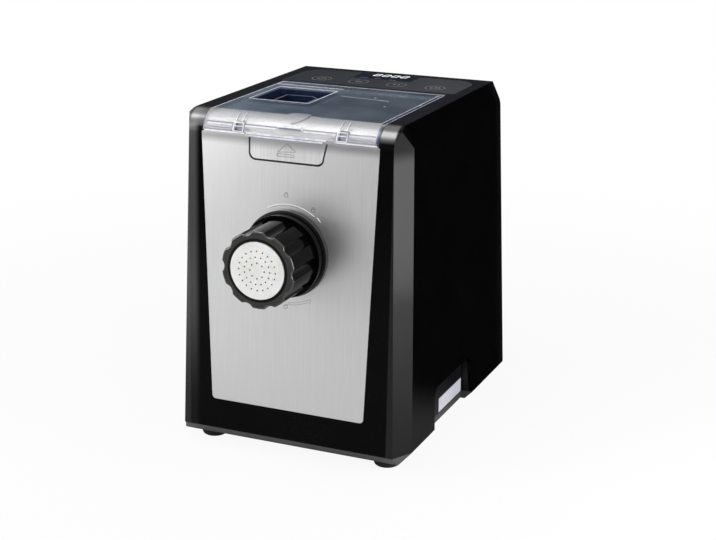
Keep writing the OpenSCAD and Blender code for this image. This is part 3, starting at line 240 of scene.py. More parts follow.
def put(bm, name, finish, body, crease=35):
    """Makes a piece of the bmesh, with its finish and the body that it moves with."""
    for face in bm.faces:
        face.smooth = True
    for edge in bm.edges:
        edge.smooth = edge.is_manifold and math.degrees(edge.calc_face_angle(0)) < crease
    mesh = bpy.data.meshes.new(name)
    bm.to_mesh(mesh)
    bm.free()
    mesh.materials.append(finish.owner)
    piece = bpy.data.objects.new(name, mesh)
    bpy.context.scene.collection.objects.link(piece)
    weigh = piece.modifiers.new("flat_faces", "WEIGHTED_NORMAL")
    weigh.keep_sharp = True
    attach(piece, body)
    return piece


def moulded(name, dark, light, rough, speckle=0.03, dent=0.02, specular=0.5):
    """Moulded plastic: clouded colour, slightly uneven gloss and a very fine orange peel."""
    finish = Finish(bpy.data.materials.new(name))
    place = finish.node("TexCoord", out="Object")
    cloud = finish.node("TexNoise", {0: place, "Scale": 35, "Detail": 3})
    grain = finish.node("TexNoise", {0: place, "Scale": 900, "Detail": 2})
    tone = fade(finish, cloud * 0.7 + grain * 0.3, 0.35, 0.65)
    bump = finish.node("Bump", {"Strength": dent, "Distance": 0.001, "Height": grain})
    finish.paint({
        "Base Color": blend(finish, dark, light, tone),
        "Roughness": rough + speckle * (cloud - 0.5),
        "Normal": bump, "Specular IOR Level": specular})
    return finish


def dress(finish, *nodes):
    """Gives a finish to CAD nodes that keep their own shape."""
    for node in nodes:
        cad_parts[node].material_slots[0].material = finish.owner


housing_black = moulded("housing_black", coloured(0.0012, 0.0012, 0.0014),
                        coloured(0.0024, 0.0024, 0.0027), 0.12, specular=0.15)
deck_black = moulded("deck_black", coloured(0.012, 0.013, 0.015),
                     coloured(0.020, 0.021, 0.024), 0.22, specular=0.25)
side_black = moulded("side_black", coloured(0.0006, 0.0006, 0.0007),
                     coloured(0.0012, 0.0012, 0.0014), 0.12, specular=0.03)
frame_black = moulded("frame_black", coloured(0.0010, 0.0010, 0.0011),
                      coloured(0.0016, 0.0016, 0.0017), 0.12, specular=0.05)

# the frame's polish: full on its bend beside the lid, less up the left facet, little on both facets
place = frame_black.node("TexCoord", out="Object")
frame_x = along(frame_black, place, "X")
frame_z = along(frame_black, place, "Z")
aside = frame_black.node("Math", {0: frame_x}, operation="ABSOLUTE")
bend_polish = fade(frame_black, frame_z, 0.2712, 0.2758) * fade(frame_black, aside, 0.0900, 0.0880)
left_polish = (fade(frame_black, frame_z, 0.030, 0.150, 0.06, 0.50)
               * fade(frame_black, frame_x, -0.0790, -0.0850))
facet_polish = (fade(frame_black, frame_z, 0.268, 0.254, 0.01, 0.15)
                * fade(frame_black, aside, 0.0886, 0.0892))
frame_black.paint({"Coat Weight": bend_polish + left_polish + facet_polish,
                   "Coat IOR": 2.1, "Coat Roughness": 0.28})

for node, name, finish, slot in (
        ("front_frame", "frame_moulding", frame_black, "black_housing"),
        ("left_side_panel", "left_side_moulding", side_black, "side_black"),
        ("right_side_panel", "right_side_moulding", side_black, "side_black"),
        ("rear_cover", "rear_moulding", housing_black, "black_housing"),
        ("top_deck", "deck_moulding", deck_black, "black_housing")):
    bm = shaped(node)
    round_edges(bm, 19, 80, 0.003, 5)
    round_edges(bm, 80, 181, 0.0002, 2)
    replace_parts(put(bm, name, finish, "machine"), node)


def metal(name, dark, light, rough, scale=(60, 60, 60), dent=0.03, speckle=0.08):
    """Bare metal whose tone, gloss and surface follow one noise, drawn out by the scale."""
    finish = Finish(bpy.data.materials.new(name))
    place = finish.node("TexCoord", out="Object")
    drawn = finish.node("Mapping", {"Vector": place, "Scale": scale})
    grain = finish.node("TexNoise", {0: drawn, "Scale": 1, "Detail": 5, "Roughness": 0.6})
    tone = fade(finish, grain, 0.3, 0.7)
    bump = finish.node("Bump", {"Strength": dent, "Distance": 0.001, "Height": grain})
    finish.paint({
        "Base Color": blend(finish, dark, light, tone), "Metallic": 1.0,
        "Roughness": rough + speckle * (grain - 0.5), "Normal": bump})
    return finish


dress(metal("blackened_screw", coloured(0.06, 0.06, 0.065), coloured(0.12, 0.12, 0.125), 0.4),
      "cover_screws")


# ---- Steel panel and its printed marks ---------------------------------------
# A 0.8 mm stainless sheet, brushed upwards and bent back under the lid. The grey
# and white marks round the nut are screen printed on it.

steel = Finish(bpy.data.materials.new("brushed_steel"))
place = steel.node("TexCoord", out="Object")
hair = steel.node("TexNoise", {
    0: steel.node("Mapping", {"Vector": place, "Scale": (5200, 600, 34)}),
    "Scale": 1, "Detail": 4, "Roughness": 0.65})
band = steel.node("TexNoise", {
    0: steel.node("Mapping", {"Vector": place, "Scale": (1100, 160, 16)}),
    "Scale": 1, "Detail": 3, "Roughness": 0.5})
streak = fade(steel, hair * 0.75 + band * 0.25, 0.34, 0.66)
# painted shade: the sheet is darker in a band where its bend starts, just below the lid's front
# edge
sheet_z = along(steel, place, "Z")
painted_lid_shade = fade(steel, sheet_z, 0.2580, 0.2665) * fade(steel, sheet_z, 0.2700, 0.2685)
bright = blend(steel, coloured(0.595, 0.595, 0.595), coloured(0.655, 0.655, 0.655), streak)
steel.paint({
    "Base Color": blend(steel, bright, coloured(0.30, 0.30, 0.305), painted_lid_shade),
    "Metallic": 1.0,
    "Roughness": 0.35 + 0.08 * (hair - 0.5) + 0.15 * fade(steel, sheet_z, 0.264, 0.272),
    "Normal": steel.node("Bump", {"Strength": 0.10, "Distance": 0.0004, "Height": hair})})

# from the origin forward to the housing's lower front edge, in millimetres
front_reach = 102.8528


def at(x, y, z):
    """A place given in millimetres from the middle of the housing's lower front edge."""
    return Vector((x, y - front_reach, z)) * 0.001


bm = shaped("steel_panel")
# the flange below the lid runs on to its joint with the bay, and its tab is shorter on the right
flange_y, tab_y, flange_z = at(0, 24.6, 0).y, at(0, 26.5, 0).y, 0.2795
flange = [vert for vert in bm.verts if vert.co.y > flange_y and vert.co.z > flange_z]
tab = [vert for vert in flange if vert.co.y > tab_y and vert.co.x > 0]
bmesh.ops.translate(bm, vec=(0, 0.0150, 0), verts=flange)
bmesh.ops.translate(bm, vec=(-0.0080, 0, 0), verts=tab)

# how far the right side of the key's cut-out leans inwards at its top and foot, in millimetres
lean_top, lean_foot = 1.4, 4.4
# the height of that top and how far the foot lies below it, in metres
lean_start, lean_run = 0.2680, 0.0132
# the ranges aside and in height that hold the points of that side and no others, in metres
side_x, side_z = (0.0275, 0.0365), (0.2480, 0.2700)


def lean(verts):
    """Leans the right side of the key, or of its cut-out in the sheet."""
    for vert in verts:
        if side_x[0] < vert.co.x < side_x[1] and side_z[0] < vert.co.z < side_z[1]:
            down = min(1, max(0, (lean_start - vert.co.z) / lean_run))
            vert.co.x -= (lean_top + (lean_foot - lean_top) * down) / 1000


lean(bm.verts)
round_edges(bm, 60, 181, 0.00030, 2)
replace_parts(put(bm, "steel_sheet", steel, "machine"), "steel_panel")


def bar(bm, start, end, width):
    """A flat bar in the drawing plane."""
    start, end = Vector(start), Vector(end)
    turn = math.atan2(end.y - start.y, end.x - start.x)
    bmesh.ops.create_grid(bm, x_segments=1, y_segments=1, size=0.5, matrix=(
        Matrix.Translation(((start + end) / 2).to_3d()) @ Matrix.Rotation(turn, 4, "Z")
        @ Matrix.Diagonal(((end - start).length, width, 1, 1))))


def strokes(bm, points, width):
    """Flat bars that lead from each point to the next."""
    for start, end in zip(points, points[1:]):
        bar(bm, start, end, width)


def arc(bm, centre, radius, width, start, sweep):
    """A flat strip along a circle, from the angle start through the angle sweep, in degrees."""
    start, sweep = math.radians(start), math.radians(sweep)
    ends = [bm.verts.new((centre[0] + r * math.cos(start), centre[1] + r * math.sin(start), 0))
            for r in (radius - width / 2, radius + width / 2)]
    edge = bm.edges.new(ends)
    bmesh.ops.spin(bm, geom=ends + [edge], cent=(centre[0], centre[1], 0), axis=(0, 0, 1),
                   angle=sweep, steps=max(6, round(abs(sweep) * 7)),
                   use_merge=abs(sweep) > 6.28)


def printed(bm, name, plane, thickness, finish, body):
    """Gives a flat drawing its thickness and lays it on a surface of the machine."""
    bmesh.ops.remove_doubles(bm, verts=bm.verts, dist=1e-5)
    bmesh.ops.recalc_face_normals(bm, faces=bm.faces)
    bmesh.ops.solidify(bm, geom=bm.faces, thickness=thickness)
    lowest = min(vert.co.z for vert in bm.verts)
    bmesh.ops.translate(bm, vec=(0, 0, -lowest), verts=bm.verts)
    bmesh.ops.transform(bm, matrix=plane, verts=bm.verts)
    bmesh.ops.recalc_face_normals(bm, faces=bm.faces)
    return put(bm, name, finish, body)


def surface(origin, along_x, along_y, normal):
    """The plane of a drawing in millimetres: its origin, its two directions and its normal."""
    axes = Matrix((Vector(along_x), Vector(along_y), Vector(normal))).transposed() * 0.001
    return Matrix.Translation(origin) @ axes.to_4x4()


# the front leans back by 10.4 mm over the height of the housing
top_z = 284
front_slope = 10.4 / top_z
front_normal = Vector((0, -1, front_slope)).normalized()
steel_front = surface(at(0, 0.3, 0), (1, 0, 0), (0, front_slope, 1), front_normal)

grey_ink = moulded("grey_ink", coloured(0.10, 0.10, 0.10), coloured(0.18, 0.18, 0.18), 0.5)
pale_ink = moulded("pale_ink", coloured(0.86, 0.86, 0.86), coloured(0.95, 0.95, 0.95), 0.5)
shaft_z = 176.4


def padlock(bm, x, z, open_by=0):
    """A padlock in outline; its shackle may stand open to one side."""
    strokes(bm, [(x + dx, z + dz) for dx, dz in (
        (-1.5, -1.3), (1.5, -1.3), (1.5, 1), (-1.5, 1), (-1.5, -1.3))], 0.4)
    arc(bm, (x + open_by, z + 1.2), 1.1, 0.4, 0, 180)


# two shut padlocks and an open one, the arcs between them, and an arrow's head
bm = bmesh.new()
padlock(bm, -1.8, 223.2)
padlock(bm, 22, 213.5)
padlock(bm, -1.5, 131.4, open_by=0.9)
arc(bm, (0, shaft_z), 38.7, 0.3, 54, 62)
arc(bm, (0, shaft_z), 41.2, 0.3, -88, 24)
arc(bm, (0, shaft_z), 43.0, 0.3, -88, 24)
bar(bm, (1.5, 133.3), (1.5, 135.2), 0.3)
strokes(bm, ((16.8, 138.7), (20.8, 140.6), (19.6, 136.2)), 0.3)
printed(bm, "steel_marks_grey", steel_front, 0.03, grey_ink, "machine")
bm = bmesh.new()
arc(bm, (0, shaft_z), 39.6, 0.8, 54, 64)
bar(bm, (25.4, 208.2), (28.6, 204.2), 0.9)
printed(bm, "steel_marks_pale", steel_front, 0.04, pale_ink, "machine")


# ---- Release key -------------------------------------------------------------
# A silver-coated ABS key in a cut-out of the steel, with a raised triangle over a
# bar. A grey slider behind it carries two catches and rests on two springs.

key_silver = Finish(bpy.data.materials.new("key_silver"))
place = key_silver.node("TexCoord", out="Object")
flake = key_silver.node("TexNoise", {0: place, "Scale": 2500, "Detail": 2})
brushed = key_silver.node("TexNoise", {
    0: key_silver.node("Mapping", {"Vector": place, "Scale": (900, 100, 10)}), "Scale": 1})
silver = blend(key_silver, coloured(0.60, 0.60, 0.60), coloured(0.72, 0.72, 0.72),
               fade(key_silver, flake * 0.4 + brushed * 0.6, 0.35, 0.65))
# painted shade: the key is darker towards the lid, as the sheet is, below the lid's front edge
key_silver.paint({
    "Base Color": blend(key_silver, silver, coloured(0.32, 0.32, 0.33),
                        fade(key_silver, along(key_silver, place, "Z"), 0.2565, 0.2655)),
    "Metallic": 0.85, "Roughness": 0.36 + 0.1 * (flake - 0.5),
    "Normal": key_silver.node("Bump", {"Strength": 0.08, "Distance": 0.0004, "Height": flake})})

# painted shadow: a dark strip round the key stands for the shadow in the gap between the key and
# the sheet
key_gap_painted_shadow = moulded("key_gap_painted_shadow", coloured(0.02, 0.02, 0.02), coloured(0.03, 0.03, 0.03), 0.6,
                    specular=0.1)
cut_x, cut_foot, side_foot, cut_top = 34.8, 249.1, 255, 267
corner_x, corner_z, corner_radius = 29, 254.9, 5.8
bm = bmesh.new()
bar(bm, (-cut_x, side_foot), (-cut_x, cut_top), 0.6)
bar(bm, (cut_x - lean_foot, side_foot), (cut_x - lean_top, cut_top), 0.6)
bar(bm, (-corner_x, cut_foot), (corner_x - lean_foot, cut_foot), 0.6)
arc(bm, (-corner_x, corner_z), corner_radius, 0.6, 180, 90)
arc(bm, (corner_x - lean_foot, corner_z), corner_radius, 0.6, 270, 90)
printed(bm, "key_gap_shadow_strip", steel_front, 0.03, key_gap_painted_shadow, "machine")

# the key is a little smaller than its solid, so that the gap round it shows
bm = shaped("release_key")
round_edges(bm, 60, 181, 0.0004, 3)
key_middle = at(0, 0, 258.6)
bmesh.ops.scale(bm, vec=(0.992, 1, 0.965), space=Matrix.Translation(-key_middle), verts=bm.verts)
lean(bm.verts)
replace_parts(put(bm, "key_face", key_silver, "key"), "release_key")

# the triangle has a dark outline of painted shade, with a painted shade line beside its right side,
# which is a bright raised ridge of the key's silver
emblem_painted_shade = moulded("emblem_shade", coloured(0.16, 0.16, 0.16), coloured(0.24, 0.24, 0.24), 0.5)
apex, right_foot, left_foot = (-1.6, 264.6), (5.4, 258.3), (-9.4, 257.2)
bm = bmesh.new()
strokes(bm, (apex, left_foot, right_foot), 0.4)
strokes(bm, ((4.8, 256), (-10, 256), (-10, 254), (4.8, 254)), 0.4)
bar(bm, (4.4, 254.8), (4.4, 255.4), 0.4)
bar(bm, (apex[0] + 0.5, apex[1] - 0.2), (right_foot[0] + 0.5, right_foot[1] - 0.1), 0.5)
printed(bm, "key_emblem", steel_front, 0.25, emblem_painted_shade, "key")
bm = bmesh.new()
bar(bm, (apex[0] - 0.3, apex[1] - 0.5), (right_foot[0] - 0.3, right_foot[1] + 0.1), 0.9)
printed(bm, "key_emblem_ridge", steel_front, 0.35, key_silver, "key")

dress(moulded("slider_grey", coloured(0.34, 0.34, 0.38), coloured(0.44, 0.44, 0.48), 0.45),
      "latch_slider")

# the two springs keep the shape that their CAD node gives them; the key has 3 mm of travel
spring_wire = metal("spring_wire", coloured(0.5, 0.5, 0.52), coloured(0.7, 0.7, 0.72), 0.25)
springs = put(shaped("key_springs"), "key_coils", spring_wire, "machine", crease=70)
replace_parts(springs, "key_springs")
at(0, 31.54, 256.4)
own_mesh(springs)


# ---- Clear lid ---------------------------------------------------------------
# One clear polycarbonate moulding, faintly blue, with the feed well set into it. It
# turns on two blued pins at its rear bead; a switch tells the board that it is shut.

clear = Finish(bpy.data.materials.new("clear_moulding"))
place = clear.node("TexCoord", out="Object")
haze = clear.node("TexNoise", {0: place, "Scale": 28, "Detail": 4})
scuff = clear.node("TexNoise", {
    0: clear.node("Mapping", {"Vector": place, "Scale": (60, 900, 60)}), "Scale": 1, "Detail": 4})
lid_x = along(clear, place, "X")
lid_y = along(clear, place, "Y")
lid_z = along(clear, place, "Z")
# the thick walls of the well and of the right side look deep blue
well_left, well_right, well_front, well_back = -0.0690, -0.0119, -0.0302, 0.0306
in_well = ((lid_x > well_left) * (lid_x < well_right) * (lid_y > well_front)
           * (lid_y < well_back) * fade(clear, lid_z, 0.2832, 0.2822))
on_side = (lid_x > 0.0735) * fade(clear, lid_z, 0.2838, 0.2825)
deep = in_well + on_side
# the well's flange shows paler behind it and on its left
border_left = (fade(clear, lid_x, well_left, -0.0700)
               * fade(clear, lid_y, -0.0350, -0.0250))
border_back = ((lid_x < well_right) * (lid_y > well_back) * (lid_y < 0.0402)
               * (lid_x > well_left))
border = border_left + border_back
# painted light: the front, which bends down over the steel, is tinted near white and a little more
# opaque, for the bright steel seen through it
painted_front_light = fade(clear, lid_y, -0.0710, -0.0770)
tint = blend(clear, coloured(0.34, 0.46, 0.58), coloured(0.50, 0.56, 0.68), haze)
tint = blend(clear, tint, coloured(0.86, 0.86, 0.88), painted_front_light)
tint = blend(clear, tint, coloured(0.44, 0.49, 0.63), border)
# painted light: the lid grows more opaque, and so lighter, towards its left
clear.paint({
    "Base Color": blend(clear, tint, coloured(0.022, 0.036, 0.100), deep),
    "Roughness": 0.05 + 0.03 * fade(clear, scuff, 0.55, 0.75), "IOR": 1.49,
    "Alpha": (0.14 + 0.10 * fade(clear, haze, 0.35, 0.7) + 0.35 * deep + 0.17 * border
              + 0.14 * fade(clear, lid_x, -0.010, -0.070) + 0.06 * painted_front_light)})

bm = shaped("clear_lid")
round_edges(bm, 60, 181, 0.00025, 2)
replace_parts(put(bm, "lid_moulding", clear, "lid"), "clear_lid")

# painted highlights: a pale finish laid where the polished edges and ribs of the moulding catch the
# light
painted_highlight = Finish(bpy.data.materials.new("painted_highlight"))
place = painted_highlight.node("TexCoord", out="Object")
glint = painted_highlight.node("TexNoise", {0: place, "Scale": 180, "Detail": 3})
painted_highlight.paint({
    "Base Color": blend(painted_highlight, coloured(0.66, 0.66, 0.73), coloured(0.90, 0.90, 0.95),
                        fade(painted_highlight, glint, 0.35, 0.6)),
    "Roughness": 0.3 + 0.15 * glint})


def level_plane(z):
    """The drawing plane that lies level at a height in millimetres."""
    return surface(at(0, 0, z), (1, 0, 0), (0, 1, 0), (0, 0, 1))


top_plane = level_plane(top_z)
bm = bmesh.new()
# painted highlights on the four edges of the well and a rib behind it
bar(bm, (-67.6, 132.2), (-12.6, 132.2), 2.2)
bar(bm, (-67.4, 74), (-12.6, 74), 1.6)
bar(bm, (-13, 75), (-13, 131), 1.2)
bar(bm, (-67.3, 75), (-67.3, 131), 1.2)
bar(bm, (-75, 143), (-12, 143), 1.8)
# the rear edge, the left one, and the two sides of the right wall
bar(bm, (-75, 154.5), (75, 154.5), 1.2)
bar(bm, (-75.6, 22), (-75.6, 154), 1.0)
bar(bm, (75.8, 22), (75.8, 154), 0.5)
bar(bm, (72.2, 22), (72.2, 150), 0.9)
# a slanting rib and three ticks
bar(bm, (-1.8, 114.7), (43.1, 110.3), 0.7)
for x, y in ((27.5, 118.9), (48.7, 88.2), (73.3, 105.9)):
    bar(bm, (x - 0.9, y), (x + 0.9, y), 1.6)
printed(bm, "lid_top_highlights", top_plane, 0.06, painted_highlight, "lid")

# the thick side wall shows deep blue from above
deep_shade = moulded("deep_shade", coloured(0.012, 0.020, 0.060), coloured(0.022, 0.032, 0.085),
                     0.4, specular=0.08)
side_wall_x = 74.1
bm = bmesh.new()
bar(bm, (side_wall_x, 24), (side_wall_x, 92), 2.8)
bar(bm, (side_wall_x, 92), (side_wall_x, 142), 2.0)
printed(bm, "lid_side_shade", top_plane, 0.05, deep_shade, "lid")

# a low chute stands in the well and leads the flour into the chamber; the grey of the moulding's
# painted shade lines also paints a highlight on its rim
painted_shade_and_rim_highlight = moulded("painted_shade_and_rim_highlight", coloured(0.15, 0.15, 0.22), coloured(0.24, 0.24, 0.32), 0.3)
chute = ((-57, 125), (-34, 126.5), (-26, 119), (-26, 92), (-57, 92), (-57, 125))
well_floor_z, chute_height = 269, 9.7
bm = bmesh.new()
strokes(bm, chute, 1.0)
printed(bm, "well_chute", level_plane(well_floor_z), chute_height, clear, "lid")
# the chute's rim line is a painted highlight
bm = bmesh.new()
strokes(bm, chute, 1.2)
printed(bm, "well_chute_rim", level_plane(well_floor_z + chute_height), 0.3, painted_shade_and_rim_highlight,
        "lid")

# the lid's front edge is rounded about this line, in millimetres from the lower front edge
bend_centre_y, bend_centre_z, bend_radius = 27.753, 266, 18


def on_bend(angle, stand_out=0):
    """The plane that touches the rounded front edge at an angle above the horizontal."""
    out = Vector((0, -math.cos(math.radians(angle)), math.sin(math.radians(angle))))
    reach = bend_radius + stand_out
    origin = at(0, bend_centre_y + reach * out.y, bend_centre_z + reach * out.z)
    return surface(origin, (1, 0, 0), (0, out.z, -out.y), out)


# painted highlights and painted shade lines along the lid's rounded front edge
# each line has its finish, its angle, how far it stands out, and its bars: left, right and width
for number, (finish, angle, stand_out, bars) in enumerate((
        (painted_highlight, 10.5, 0, ((-75, -39, 1.0), (39, 75, 1.0))),
        (painted_shade_and_rim_highlight, 15, 0, ((-75, -50, 0.6), (50, 75, 0.6))),
        (painted_shade_and_rim_highlight, 20.6, 0, ((-73, -51, 0.6), (-39, -34, 0.6), (35, 39, 0.6), (51, 73, 0.6))),
        (painted_highlight, 29.5, 0, ((-73, -50, 1.0), (-40, -12, 1.0), (12, 40, 1.0), (50, 73, 1.0))),
        (painted_shade_and_rim_highlight, 34, 0, ((-73, -51, 0.8), (-39, -11, 0.8), (11, 39, 0.8), (51, 73, 0.8))),
        (painted_highlight, 37, 1.2, ((-9.6, 9.8, 1.8),)),
        (painted_shade_and_rim_highlight, 31, 1.2, ((-9.6, 10, 1.3),))), 1):
    bm = bmesh.new()
    for left_end, right_end, width in bars:
        bar(bm, (left_end, 0), (right_end, 0), width)
    printed(bm, "lid_front_edge_%d" % number, on_bend(angle, stand_out), 0.06,
            finish, "lid")


def uprights(bm, places, reach, width):
    """Short bars across the bend, each as far below its line as above it."""
    for x in places:
        bar(bm, (x, -reach), (x, reach), width)


# painted highlights and painted shade on the frames of the two catch windows and on the pairs of
# ribs above them
for side, middle in (("left", -45), ("right", 45)):
    bm = bmesh.new()
    uprights(bm, (middle - 4.3, middle + 4.3), 3.6, 0.9)
    for y in (-3.4, 0.8, 3.6):
        bar(bm, (middle - 4.7, y), (middle + 4.7, y), 0.8)
    printed(bm, side + "_window_highlights", on_bend(25), 0.08, painted_highlight, "lid")
    bm = bmesh.new()
    uprights(bm, (middle - 5.2, middle + 5.2), 3.6, 0.6)
    bar(bm, (middle - 3.8, -0.2), (middle + 3.8, -0.2), 0.6)
    printed(bm, side + "_window_shade", on_bend(25), 0.07, painted_shade_and_rim_highlight, "lid")
    for angle in (49, 64):
        bm = bmesh.new()
        uprights(bm, (middle - 3.4, middle + 2.6), 2.6, 0.7)
        printed(bm, "%s_window_ribs_%d" % (side, angle), on_bend(angle), 0.05,
                painted_highlight, "lid")
        bm = bmesh.new()
        uprights(bm, (middle - 2.6, middle + 3.4), 2.6, 0.5)
        printed(bm, "%s_rib_shades_%d" % (side, angle), on_bend(angle), 0.04,
                painted_shade_and_rim_highlight, "lid")

# painted highlights on the two edges of the finger tab in front, with a painted shade line between
# them
tab_front = surface(at(0, -4.2, 0), (1, 0, 0), (0, front_slope, 1), front_normal)
bm = bmesh.new()
bar(bm, (-33.2, 268.9), (31, 268.9), 1.2)
bar(bm, (-35, 270.9), (34, 270.9), 1.6)
printed(bm, "finger_tab_highlights", tab_front, 0.06, painted_highlight, "lid")
bm = bmesh.new()
bar(bm, (-34, 269.8), (33, 269.8), 0.35)
printed(bm, "finger_tab_shade", tab_front, 0.04, painted_shade_and_rim_highlight, "lid")

# painted shadow: a dark strip along the right edge of the steel's tab runs forward into its bend
tab_edge_painted_shadow = moulded("tab_edge_painted_shadow", coloured(0.01, 0.01, 0.012), coloured(0.02, 0.02, 0.023), 0.6)
shadow_width = 2.0
bm = bmesh.new()
strokes(bm, ((3.6, 41.8), (5.4, 35), (6, 27.7)), shadow_width)
printed(bm, "tab_slot_rear", level_plane(281.1), 0.05, tab_edge_painted_shadow, "machine")
# the steel's bend lies below the lid's; here a point is a place aside and an angle on the bend
below_lid = 2.85
steel_bend_radius = bend_radius - below_lid
turns = ((6, 90), (5.5, 74), (1.5, 59), (-2.6, 57))
for number, (start, end) in enumerate(zip(turns, turns[1:]), 1):
    middle = (start[1] + end[1]) / 2
    bm = bmesh.new()
    bar(bm, *((x, math.radians(angle - middle) * steel_bend_radius) for x, angle in (start, end)),
        shadow_width)
    printed(bm, "tab_slot_%d" % number, on_bend(middle, -below_lid), 0.05,
            tab_edge_painted_shadow, "machine")

dress(metal("blued_pin", coloured(0.04, 0.045, 0.055), coloured(0.07, 0.075, 0.09), 0.35),
      "lid_hinge_pins")
dress(moulded("switch_black", coloured(0.02, 0.02, 0.022), coloured(0.035, 0.035, 0.037), 0.5),
      "lid_switch")


# ---- Touch panel, display and boards -----------------------------------------
# A smoked glossy panel let into the top, printed with four ring keys and with a window
# for the digits. The digit block and the touch board lie below it.

panel_gloss = Finish(bpy.data.materials.new("smoked_panel"))
place = panel_gloss.node("TexCoord", out="Object")
depth = panel_gloss.node("TexNoise", {0: place, "Scale": 12, "Detail": 3})
# painted light: the panel's colour is lighter towards its right
painted_light_right = fade(panel_gloss, along(panel_gloss, place, "X"), -0.02, 0.06)
smear = panel_gloss.node("TexNoise", {
    0: panel_gloss.node("Mapping", {"Vector": place, "Scale": (90, 30, 30)}),
    "Scale": 1, "Detail": 5})
panel_gloss.paint({
    "Base Color": blend(panel_gloss, coloured(0.046, 0.052, 0.062), coloured(0.120, 0.126, 0.138),
                        0.5 * depth + 0.5 * painted_light_right),
    "Roughness": 0.08 + 0.10 * fade(panel_gloss, smear, 0.5, 0.75)})

bm = shaped("touch_panel")
round_edges(bm, 60, 181, 0.0003, 2)
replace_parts(put(bm, "panel_plate", panel_gloss, "machine"), "touch_panel")

ring_grey = moulded("ring_grey", coloured(0.30, 0.30, 0.31), coloured(0.40, 0.40, 0.41), 0.4)
power_x, program_x, start_x, timer_x = -51, -15.3, 20.6, 56.5
key_y = 182.7
bm = bmesh.new()
for x in (power_x, program_x, start_x, timer_x):
    arc(bm, (x, key_y), 8.7, 0.45, 0, 360)
# a mains symbol, three lines, a start and pause sign, and a clock
arc(bm, (power_x, key_y), 3.6, 0.6, 120, 300)
bar(bm, (power_x, key_y + 1), (power_x, key_y + 4.6), 0.6)
for line in (-2, 0, 2):
    bar(bm, (program_x - 3.2, key_y + line), (program_x + 3.2, key_y + line), 0.55)
for x in (start_x - 2, start_x + 2):
    bar(bm, (x, key_y - 3), (x, key_y + 3), 0.9)
arc(bm, (timer_x, key_y), 4.2, 0.5, 0, 360)
bar(bm, (timer_x, key_y), (timer_x, key_y + 3), 0.5)
bar(bm, (timer_x, key_y), (timer_x + 2.1, key_y), 0.5)
printed(bm, "ring_keys", top_plane, 0.03, ring_grey, "machine")

window = moulded("display_window", coloured(0.018, 0.024, 0.034), coloured(0.024, 0.031, 0.043),
                 0.06)
bm = bmesh.new()
bar(bm, (-29, 212), (27, 212), 25)
printed(bm, "display_window", top_plane, 0.015, window, "machine")


def glowing(name, tint):
    """A lit segment: pale diffuser over a lamp, its brightness a little uneven."""
    finish = Finish(bpy.data.materials.new(name))
    cloud = finish.node("TexNoise", {0: finish.node("TexCoord", out="Object"), "Scale": 900})
    shade = blend(finish, coloured(*(0.8 * part for part in tint)), coloured(*tint), cloud)
    finish.paint({"Base Color": shade, "Emission Color": shade, "Emission Strength": 0.6,
                  "Roughness": 0.4})
    return finish


# four noughts, each of six segments that lean to the right
digit_width, digit_height, digit_foot, slant = 4.6, 8.2, 215.0, 0.16
nought = ((0, 1), (1, 1), (1, 0.5), (1, 0), (0, 0), (0, 0.5), (0, 1))
bm = bmesh.new()
for digit_x in (-15.0, -6.3, 2.4, 11.1):
    strokes(bm, [(digit_x + u * digit_width + slant * v * digit_height,
                  digit_foot + v * digit_height) for u, v in nought], 1.5)
printed(bm, "display_digits", top_plane, 0.05, glowing("digit_white", (0.95, 0.96, 1.0)),
        "machine")
bm = bmesh.new()
bar(bm, (-9.5, 203.4), (-3.4, 203.4), 0.6)
bar(bm, (6, 201.6), (12, 201.2), 0.6)
printed(bm, "display_marks", top_plane, 0.05, ring_grey, "machine")
bm = bmesh.new()
bar(bm, (-23, 203), (-15.5, 204.6), 1.8)
printed(bm, "display_lamp", top_plane, 0.05, glowing("lamp_blue", (0.06, 0.09, 0.26)),
        "machine")

dress(moulded("digit_block", coloured(0.02, 0.02, 0.022), coloured(0.03, 0.03, 0.033), 0.3),
      "display_block")


def laminate(name, dark, light):
    """Circuit board: lacquered laminate with faint copper runs in a square grid."""
    finish = Finish(bpy.data.materials.new(name))
    place = finish.node("TexCoord", out="Object")
    runs = finish.node("TexBrick", {0: place, "Scale": 220, "Mortar Size": 0.06,
                                    "Color1": dark, "Color2": dark, "Mortar": light})
    lacquer = finish.node("TexNoise", {0: place, "Scale": 200})
    finish.paint({"Base Color": runs, "Roughness": 0.3 + 0.15 * lacquer})
    return finish


dress(laminate("green_laminate", coloured(0.015, 0.10, 0.035), coloured(0.04, 0.20, 0.08)),
      "control_board", "power_board")


def rubber(name, dark, light):
    """Moulded rubber: matt, dusty and finely pitted."""
    return moulded(name, dark, light, 0.75, speckle=0.1, dent=0.08, specular=0.3)


dress(rubber("pad_rubber", coloured(0.02, 0.02, 0.02), coloured(0.04, 0.04, 0.04)), "touch_pads")


# ---- Mixing chamber, its bay, the barrel and the seal ------------------------
# The clear grey chamber hangs in a dark bay of the housing. The barrel runs from its
# front wall out through the steel and carries three bayonet lugs for the nut.

bay_grey = moulded("bay_grey", coloured(0.02, 0.022, 0.026), coloured(0.03, 0.033, 0.038), 0.4)
dress(bay_grey, "chamber_bay")

bowl = Finish(bpy.data.materials.new("chamber_clear"))
place = bowl.node("TexCoord", out="Object")
haze = bowl.node("TexNoise", {0: place, "Scale": 45, "Detail": 3})
bowl.paint({
    "Base Color": blend(bowl, coloured(0.07, 0.085, 0.105), coloured(0.10, 0.12, 0.145), haze),
    "Roughness": 0.12 + 0.08 * haze, "Transmission Weight": 0.4, "IOR": 1.49})
dress(bowl, "mixing_chamber")

